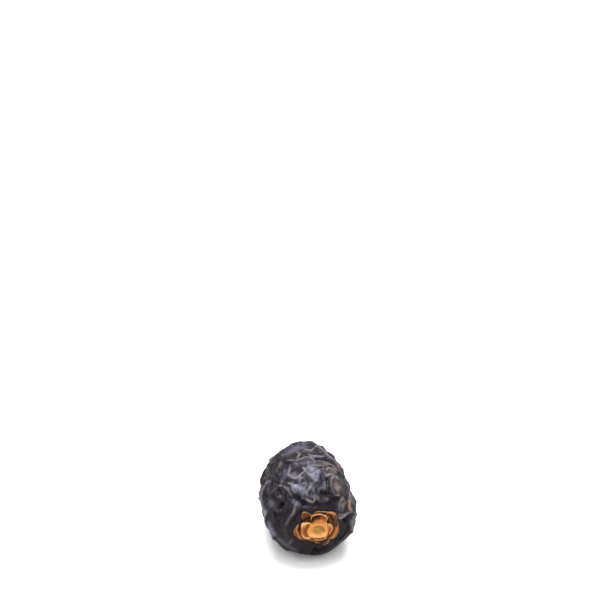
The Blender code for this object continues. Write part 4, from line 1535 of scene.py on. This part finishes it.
CUP_MARKS = (
    # Top lobe: painted shade in its pocket as a black crescent, a reddish glint painted on its right, the
    # top rim darkened
    mark(-0.10, 0.52, Tint.DARK, 1.00, (124, 2.95), (110, 3.22), (96, 3.25), (84, 3.25)),
    mark(-0.05, 0.36, Tint.DARK, 0.70, (84, 3.25), (72, 3.2), (62, 3.05)),
    mark(0.00, 0.24, Tint.RED, 0.80, (78, 3.7), (66, 3.6)),
    mark(0.00, 0.28, Tint.DARK, 0.50, (114, 4.1), (95, 4.3), (76, 4.15)),
    # Raised middle: rosy top, lower part painted pale as painted light
    mark(0.00, 0.50, Tint.RED, 0.50, (112, 2.5), (88, 2.4), (66, 2.3)),
    mark(0.04, 0.42, Tint.PALE, 0.65, (210, 2.1), (242, 1.75), (296, 1.85), (322, 2.2)),
    # The scar's rings of painted shade, the outer one deepest at the upper right, and its dark yellow foot
    mark(-0.10, 0.15, Tint.DARK, 0.75, (144, 1.15), (130, 1.12), (115, 1.1), (100, 1.09), (84, 1.1),
         (65, 1.12), (45, 1.16), (27, 1.2), (9, 1.25), (-6, 1.28), (-21, 1.3)),
    mark(-0.04, 0.10, Tint.DARK, 0.35, (110, 0.62), (85, 0.63), (60, 0.66), (35, 0.69), (10, 0.72),
         (-10, 0.74), (-30, 0.75)),
    mark(-0.02, 0.30, Tint.DARK, 0.22, (235, 0.75), (260, 0.75), (290, 0.85)),
    # Right lobe: red streak and painted shade on its lower edge
    mark(0.04, 0.28, Tint.PALE, 0.90, (24, 2.8), (12, 2.65)),
    mark(-0.06, 0.18, Tint.RED, 1.00, (14, 2.95), (1, 2.95), (-16, 2.7), (-28, 2.65)),
    mark(-0.05, 0.20, Tint.DARK, 0.90, (-30, 2.75), (-42, 2.7)),
    # Left lobe: pale tab, red-brown groove with painted shade, orange rim
    mark(0.08, 0.26, Tint.PALE, 1.00, (159, 4.2), (152, 4.3), (144, 3.56), (136, 2.9)),
    mark(-0.12, 0.26, Tint.DARK, 0.65, (148, 2.6), (165, 2.8), (178, 3.0), (191, 3.05), (206, 2.95)),
    mark(0.00, 0.44, Tint.RED, 1.00, (163, 3.7), (178, 3.7), (192, 3.6), (204, 3.45)),
    mark(0.06, 0.26, Tint.PALE, 1.00, (200, 3.9), (206, 3.75), (214, 3.5), (221, 2.9)),
    # Bottom lobe: painted shade in its narrow pocket and under its rim, pale left end
    mark(-0.10, 0.18, Tint.DARK, 1.00, (249, 2.25), (273, 2.35), (299, 2.6)),
    mark(0.04, 0.30, Tint.PALE, 1.00, (242, 2.35), (256, 2.7)),
    mark(0.00, 0.20, Tint.DARK, 0.50, (270, 2.75), (284, 2.82), (300, 2.9)),
)


def folded(outs: np.ndarray, marks: tuple[CapMark, ...], places: np.ndarray) -> np.ndarray:
    """Heights with all marks of a piece added to them.

    Args:
        outs: Heights of the unmarked face.
        marks: All marks of the piece.
        places: Places across the cap, one pair each.

    Returns:
        The new heights.
    """
    for one in marks:
        outs = outs + one.rise * MM * one.share(places)
    return outs


def tinted(marks: tuple[CapMark, ...], places: np.ndarray, tint: Tint) -> np.ndarray:
    """How strong one tint is at each place.

    Args:
        marks: All marks of the piece.
        places: Places across the cap, one pair each.
        tint: The tint.

    Returns:
        Its share, 0 to 1.
    """
    share = np.zeros(len(places))
    for one in marks:
        if one.tint is tint:
            share = np.maximum(share, one.strength * one.share(places))
    return share


@dataclass
class PetalWhorl:
    """Three thin, folded petals that overlap at their seams."""

    cap: CapOutline
    shift: np.ndarray
    overlap: float = 4.0
    inner_radius: float = 1.6 * MM
    thickness: float = 0.22 * MM
    across: int = 90
    outward: int = 36
    side_taper: float = 0.10
    side_cut: float = 0.06
    rim_ripple: float = 0.03 * MM
    face_ripple: float = 0.05 * MM
    ripple_start: Pair = (0.40, 0.85)
    rim_rise: float = 0.30 * MM
    rise_start: Pair = (0.50, 0.85)
    rim_curl: float = 0.20 * MM
    curl_start: Pair = (0.88, 1.0)
    shingle: float = 0.30 * MM
    shingle_level: float = 0.25
    # Where the petals are painted dark next to the cup, as painted shade
    shade_by_cup: Pair = (0.30, 0.50)
    rim_band: Pair = (0.93, 0.99)

    def spans(self) -> list[Pair]:
        """Where each petal starts and ends, in degrees.

        Returns:
            One pair of turns a petal.
        """
        first, second, third = self.cap.seams
        bounds = ((third - 360.0, first), (first, second), (second, third))
        return [(start - self.overlap, end + self.overlap) for start, end in bounds]

    def ripple(self, angle: np.ndarray, index: int) -> np.ndarray:
        """Two waves round the rim of a petal, which start elsewhere on each."""
        return np.sin(angle * 17.0 + 0.4 + 2.0 * index) + 0.8 * np.sin(angle * 31.0 + 1.7 * index)

    def petal(self, index: int, start: float, end: float) -> bpy.types.Object:
        """One petal, from a grid bent to its outline and folded.

        Args:
            index: Its number.
            start: Turn of its first side edge.
            end: Turn of its last side edge.

        Returns:
            The petal as a sheet.
        """
        deselect()
        bpy.ops.mesh.primitive_grid_add(x_subdivisions=self.across, y_subdivisions=self.outward, size=2.0)
        piece = named(f"petal_{index + 1}")
        grid = get_places(piece)
        side = 0.5 + 0.5 * grid[:, 0]
        far = 0.5 + 0.5 * grid[:, 1]
        turns = start + (end - start) * side
        taper = np.clip(np.minimum(side, 1.0 - side) / self.side_taper, 0.0, 1.0)
        edge = self.cap.radius(turns) * (1.0 - self.side_cut * (1.0 - taper) ** 2)
        ripple = self.ripple(np.radians(turns), index)
        edge += self.rim_ripple * ripple
        radii = self.inner_radius + (edge - self.inner_radius) * far
        places = across_cap(turns, radii)
        outs = self.cap.out(radii) + self.rim_rise * smooth_step(*self.rise_start, far)
        outs = folded(outs, PETAL_MARKS, places)
        shingled = self.face_ripple * ripple + self.shingle * (side ** 3 - self.shingle_level)
        outs += shingled * smooth_step(*self.ripple_start, far)
        outs -= self.rim_curl * smooth_step(*self.curl_start, far)
        set_places(piece, self.cap.place(turns, radii, outs) + self.shift)
        for tint in (Tint.LIGHT, Tint.PALE):
            set_number(piece, tint.value, tinted(PETAL_MARKS, places, tint))
        # Painted shade on the petals next to the cup and along the dark marks
        shade_by_cup = 1.0 - smooth_step(*self.shade_by_cup, far)
        set_number(piece, "dark", np.maximum(tinted(PETAL_MARKS, places, Tint.DARK), shade_by_cup))
        set_number(piece, "rim", smooth_step(*self.rim_band, np.maximum(far, 1.0 - taper)))
        return piece

    def build(self) -> bpy.types.Object:
        """Make the three petals, join them and thicken them.

        Returns:
            The finished petals.
        """
        petals = [self.petal(index, *span) for index, span in enumerate(self.spans())]
        deselect()
        for petal in petals:
            petal.select_set(True)
        bpy.context.view_layer.objects.active = petals[0]
        bpy.ops.object.join()
        whorl = named("petals")
        face_outwards()
        if np.mean([polygon.normal.y for polygon in whorl.data.polygons]) > 0.0:
            whorl.data.flip_normals()
        body = whorl.modifiers.new("thickness", "SOLIDIFY")
        body.thickness = self.thickness
        body.offset = -1.0
        bpy.ops.object.modifier_apply(modifier=body.name)
        round_off = whorl.modifiers.new("rounded rims", "SUBSURF")
        round_off.levels = 1
        round_off.render_levels = 1
        bpy.ops.object.modifier_apply(modifier=round_off.name)
        shade_smooth(whorl)
        return whorl

    def dress(self, piece: bpy.types.Object, groups: Groups) -> None:
        """Give the petals their finish and their place in the frame.

        Args:
            piece: The petals.
            groups: The shared node groups.
        """
        piece.data.materials.append(PetalFinish().material(groups))
        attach(piece, "root")
        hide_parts("petal_whorl")


@dataclass(frozen=True)
class Lobe:
    """One lobe of the cup: how its face runs from the raised middle to its rim.

    Attributes:
        turn: Degrees round the cap's axis.
        half_width: Degrees to each side.
        groove: Radius of the pocket's middle, in millimetres.
        groove_width: Half width of the pocket.
        groove_out: Height of the pocket's floor over the stem end's plane.
        band_out: Height of the face outside the pocket.
        lip_out: Height of the rim.
        pale: How pale its rim is.
    """

    turn: float
    half_width: float
    groove: float
    groove_width: float
    groove_out: float
    band_out: float
    lip_out: float
    pale: float


LOBES = (
    Lobe(100, 26, 3.35, 0.62, -0.40, 0.15, 0.62, 0.30),
    Lobe(66, 12, 3.35, 0.55, -0.20, 0.20, 0.62, 0.90),
    Lobe(46, 8, 2.85, 0.40, 0.05, 0.10, 0.25, 0.10),
    Lobe(18, 12, 2.60, 0.25, 0.20, 0.34, 0.52, 0.30),
    Lobe(-10, 20, 2.65, 0.35, 0.10, 0.22, 0.38, 0.20),
    Lobe(-88, 36, 2.32, 0.24, -0.05, 0.25, 0.40, 0.30),
    Lobe(152, 11, 2.85, 0.30, 0.10, 0.50, 0.62, 1.00),
    Lobe(178, 17, 3.05, 0.34, -0.05, 0.35, 0.42, 0.15),
    Lobe(209, 16, 3.00, 0.28, 0.05, 0.40, 0.50, 0.90),
)

CUP_OUTLINE = (
    (-42, 2.84), (-26, 2.98), (-10, 3.14), (4, 3.38), (18, 3.29), (28, 3.02), (37, 2.55), (45, 2.62),
    (51, 3.20), (57, 3.74), (65, 4.11), (76, 4.29), (89, 4.36), (101, 4.42), (111, 4.21), (119, 3.77),
    (127, 3.12), (134, 2.96), (141, 3.72), (149, 4.44), (156, 4.46), (166, 4.12), (181, 4.05),
    (196, 3.98), (210, 3.62), (222, 2.96), (231, 2.42), (244, 2.42), (259, 2.70), (279, 2.84),
    (296, 2.96), (308, 2.92),
)

PLATEAU_OUTLINE = (
    (-37, 2.40), (-11, 2.24), (17, 2.18), (50, 2.30), (70, 2.66), (88, 2.92), (106, 2.92), (121, 2.80),
    (137, 2.60), (155, 2.50), (179, 2.62), (209, 2.45), (241, 2.05), (272, 2.08), (297, 2.22),
)


@dataclass
class CalyxCup:
    """The lobed cup with its lips and pockets, its raised middle and the stalk's scar."""

    cap: CapOutline
    shift: np.ndarray
    lip_width: float = 0.16 * MM
    lip_inset: float = 0.6
    wall: float = 0.32 * MM
    flare_width: float = 1.1 * MM
    seat_gap: float = 0.25 * MM
    plateau_out: float = 0.62 * MM
    plateau_edge: Pair = (-0.16 * MM, 0.22 * MM)
    pocket_edge: Pair = (0.22 * MM, 0.50 * MM)
    dish: float = 0.26 * MM
    scar_middle: float = -0.1 * MM
    scar_width: float = 2.9 * MM
    scar_height: float = 2.1 * MM
    scar_depth: float = 0.18 * MM
    scar_edge: Pair = (0.84, 1.0)
    scar_rings: float = 2.6
    ring_height: float = 0.05 * MM
    dents: Field = Field(1.5 * MM, 9, 211)
    dent_depth: float = 0.035 * MM
    fine_dents: Field = Field(0.6 * MM, 9, 223)
    fine_dent_depth: float = 0.015 * MM
    # Painted shade in the pockets and on the back
    pocket_shade: float = 0.45
    back_shade: float = 0.8
    back_rim: float = 0.985
    rosy: float = 0.45
    segments: int = 300
    rings: int = 130

    def blend(self, turns: np.ndarray, name: str) -> np.ndarray:
        """One measure of the lobes, blended from lobe to lobe.

        Args:
            turns: Degrees round the cap's axis.
            name: Which measure.

        Returns:
            Its value at each turn.
        """
        total = np.zeros(turns.shape)
        weight = np.full(turns.shape, 1e-9)
        for lobe in LOBES:
            away = (turns - lobe.turn + 180.0) % 360.0 - 180.0
            share = soft_line(away, lobe.half_width)
            total += share * getattr(lobe, name)
            weight += share
        return total / weight

    def build(self) -> bpy.types.Object:
        """Bend a ball into the cup: one half its face, the other its back.

        Returns:
            The finished cup with the numbers that its finish reads.
        """
        deselect()
        bpy.ops.mesh.primitive_uv_sphere_add(segments=self.segments, ring_count=self.rings, radius=1.0,
                                             location=(0.0, 0.0, 0.0))
        piece = named("cup")
        ball = get_places(piece)
        turns = np.degrees(np.arctan2(ball[:, 1], ball[:, 0]))
        polar = np.arccos(np.clip(ball[:, 2], -1.0, 1.0))
        face = polar <= 0.5 * math.pi + 1e-4
        share = np.where(face, polar, math.pi - polar) / (0.5 * math.pi)
        edge = round_curve(CUP_OUTLINE, turns)
        radii = edge * share
        places = across_cap(turns, radii)
        rim_gap = edge - radii
        middle = round_curve(PLATEAU_OUTLINE, turns)
        low, high = self.plateau_edge
        plateau = 1.0 - smooth_step(middle + low, middle + high, radii)
        groove = (radii - self.blend(turns, "groove") * MM) / (self.blend(turns, "groove_width") * MM)
        pocket = np.exp(-groove ** 4) * (1.0 - plateau) * smooth_step(*self.pocket_edge, rim_gap)
        lip = soft_line(rim_gap - self.lip_inset * self.lip_width, self.lip_width)
        band_out = self.blend(turns, "band_out") * MM
        outs = band_out + (self.blend(turns, "groove_out") * MM - band_out) * pocket
        outs += (self.blend(turns, "lip_out") * MM - outs) * lip
        outs += (self.plateau_out - self.dish * (1.0 - (radii / middle) ** 2) - outs) * plateau
        scar_across = (places[:, 0] - self.scar_middle) / self.scar_width
        scar = 2.0 * np.hypot(scar_across, places[:, 1] / self.scar_height)
        recess = 1.0 - smooth_step(*self.scar_edge, scar)
        rings = self.ring_height * np.cos(scar * self.scar_rings * 2.0 * math.pi)
        outs = folded(outs + recess * (rings - self.scar_depth), CUP_MARKS, places)
        flat = np.stack((places[:, 0], places[:, 1], np.zeros(len(places))), axis=-1)
        outs += self.dent_depth * self.dents.at(flat) + self.fine_dent_depth * self.fine_dents.at(flat)
        under = self.cap.out(radii) + self.seat_gap
        flare = smooth_step(edge - self.flare_width, edge, radii)
        back = under + (outs - self.wall - under) * flare
        heights = np.where(face, outs, np.minimum(back, outs - self.wall))
        set_places(piece, self.cap.place(turns, radii, heights) + self.shift)
        pale = self.blend(turns, "pale")
        lips = np.where(face, lip * pale, pale * (share > self.back_rim)) * (1.0 - plateau)
        set_number(piece, "pale", np.maximum(lips, tinted(CUP_MARKS, places, Tint.PALE) * face))
        # Painted shade in pockets, grooves and on the back
        dark = np.maximum(self.pocket_shade * pocket, tinted(CUP_MARKS, places, Tint.DARK))
        set_number(piece, "dark", np.where(face, dark, self.back_shade * (1.0 - flare)))
        rosy = self.rosy * (1.0 - plateau) * (1.0 - lip)
        set_number(piece, "red", np.maximum(rosy, tinted(CUP_MARKS, places, Tint.RED)) * face)
        set_number(piece, "scar", recess * face)
        face_outwards()
        shade_smooth(piece)
        return piece

    def dress(self, piece: bpy.types.Object, groups: Groups) -> None:
        """Give the cup its finish and its place in the frame.

        Args:
            piece: The cup.
            groups: The shared node groups.
        """
        piece.data.materials.append(CupFinish().material(groups))
        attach(piece, "root")
        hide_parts("calyx_cup")


@dataclass(frozen=True)
class Softbox:
    """A square soft light aimed at the date.

    Attributes:
        name: Its name.
        place: Its middle, in metres.
        size: Its side.
        power: Its power in watts.
        colour: Its colour.
    """

    name: str
    place: tuple[float, float, float]
    size: float
    power: float
    colour: tuple[float, float, float] = (1.0, 1.0, 1.0)

    def build(self) -> None:
        """Hang the light."""
        data = bpy.data.lights.new(self.name, "AREA")
        data.shape = "SQUARE"
        data.size = self.size
        data.energy = self.power
        data.color = self.colour
        lamp = bpy.data.objects.new(self.name, data)
        lamp.visible_camera = False
        bpy.context.collection.objects.link(lamp)
        way = Vector(self.place)
        lamp.matrix_world = Matrix.Translation(way) @ way.to_track_quat("Z", "Y").to_matrix().to_4x4()


@dataclass
class Studio:
    """Pale floor, soft lights above, in front and at both sides, and the camera."""

    form: DateForm
    shift: np.ndarray
    field_of_view: float = math.radians(18.0)
    pitch: float = math.radians(25.0)
    azimuth: float = math.radians(-9.1)
    distance_in_widths: float = 20.8
    middle_x: float = 306.4
    middle_y: float = 497.3
    picture_half: float = 300.0
    clip: Pair = (0.01, 20.0)
    floor_size: float = 8.0
    floor_seen: Colour = (1.10, 1.10, 1.10, 1.0)
    floor_far: Pair = (0.25, 0.90)
    floor_reflected: Colour = (0.42, 0.40, 0.40, 1.0)
    floor_roughness: float = 0.70
    floor_specular: float = 0.2
    world_light: float = 0.28
    softboxes: tuple[Softbox, ...] = (
        Softbox("above", (0.05, 0.14, 0.74), 0.60, 11.0, (0.93, 0.95, 1.0)),
        Softbox("left", (-0.62, -0.05, 0.40), 0.50, 1.3),
        Softbox("right", (0.62, 0.0, 0.42), 0.50, 0.7),
        Softbox("front", (-0.04, -0.54, 0.52), 0.60, 3.8),
    )

    def camera(self) -> None:
        """The camera, aimed so that the date's middle falls on its place in the picture."""
        distance = self.distance_in_widths * self.form.width
        reach = self.picture_half / math.tan(0.5 * self.field_of_view)
        back = Vector((math.sin(self.azimuth) * math.cos(self.pitch),
                       -math.cos(self.azimuth) * math.cos(self.pitch), math.sin(self.pitch)))
        right = Vector((math.cos(self.azimuth), math.sin(self.azimuth), 0.0))
        up = back.cross(right)
        across = (self.middle_x - self.picture_half) / reach * distance
        upward = (self.picture_half - self.middle_y) / reach * distance
        data = bpy.data.cameras.new("camera")
        data.angle = self.field_of_view
        data.clip_start, data.clip_end = self.clip
        camera = bpy.data.objects.new("camera", data)
        bpy.context.collection.objects.link(camera)
        turn = Matrix((right, up, back)).transposed().to_4x4()
        place = Vector(self.shift) + back * distance - right * across - up * upward
        camera.matrix_world = Matrix.Translation(place) @ turn
        bpy.context.scene.camera = camera

    def floor(self) -> None:
        """A plain pale floor: calmer in the skin's reflections, and white to the eye far off."""
        deselect()
        bpy.ops.mesh.primitive_plane_add(size=self.floor_size, location=(0.0, 0.0, 0.0))
        floor = named("floor")
        material, board, shader = fresh_material("floor_white")
        seen = board.add("ShaderNodeLightPath").outputs["Is Camera Ray"]
        board.join(board.mix(seen, self.floor_reflected, self.floor_seen), shader.inputs["Base Color"])
        away = board.add("ShaderNodeVectorMath", operation="LENGTH")
        board.join(board.add("ShaderNodeTexCoord").outputs["Object"], away.inputs[0])
        far = board.times(seen, board.ramp(away.outputs["Value"], self.floor_far, WHOLE))
        board.join(board.mix(far, BLACK, WHITE), shader.inputs["Emission Color"])
        shader.inputs["Emission Strength"].default_value = 1.0
        shader.inputs["Roughness"].default_value = self.floor_roughness
        shader.inputs["Specular IOR Level"].default_value = self.floor_specular
        floor.data.materials.append(material)

    def surroundings(self) -> None:
        """Dim pale surroundings that the camera itself sees as white."""
        world = bpy.data.worlds.new("surroundings")
        bpy.context.scene.world = world
        world.use_nodes = True
        board = Board(world.node_tree)
        plain = world.node_tree.nodes["Background"]
        seen = board.add("ShaderNodeBackground")
        for background, strength in ((plain, self.world_light), (seen, 1.0)):
            background.inputs["Color"].default_value = WHITE
            background.inputs["Strength"].default_value = strength
        mix = board.add("ShaderNodeMixShader")
        board.join(board.add("ShaderNodeLightPath").outputs["Is Camera Ray"], mix.inputs[0])
        board.join(plain.outputs[0], mix.inputs[1])
        board.join(seen.outputs[0], mix.inputs[2])
        board.join(mix.outputs[0], world.node_tree.nodes["World Output"].inputs["Surface"])
        bpy.context.scene.view_settings.view_transform = "Standard"

    def build(self) -> None:
        """Set up the whole studio."""
        self.camera()
        self.floor()
        self.surroundings()
        for softbox in self.softboxes:
            softbox.build()


def main() -> None:
    """Build each part of the date in turn."""
    logging.basicConfig(level=logging.INFO, format="%(message)s")
    form = DateForm()
    cap = CapOutline(form)
    shift = Seat(cap).shift()
    LOG.info("shift %s", np.round(shift / MM, 3))
    groups = Groups(mottle_group(), grain_group())
    Studio(form, shift).build()
    for maker in (FruitSkin(form, cap, shift), PetalWhorl(cap, shift), CalyxCup(cap, shift)):
        piece = maker.build()
        maker.dress(piece, groups)
        LOG.info("%s: %d faces", piece.name, len(piece.data.polygons))


if __name__ == "__main__":
    main()
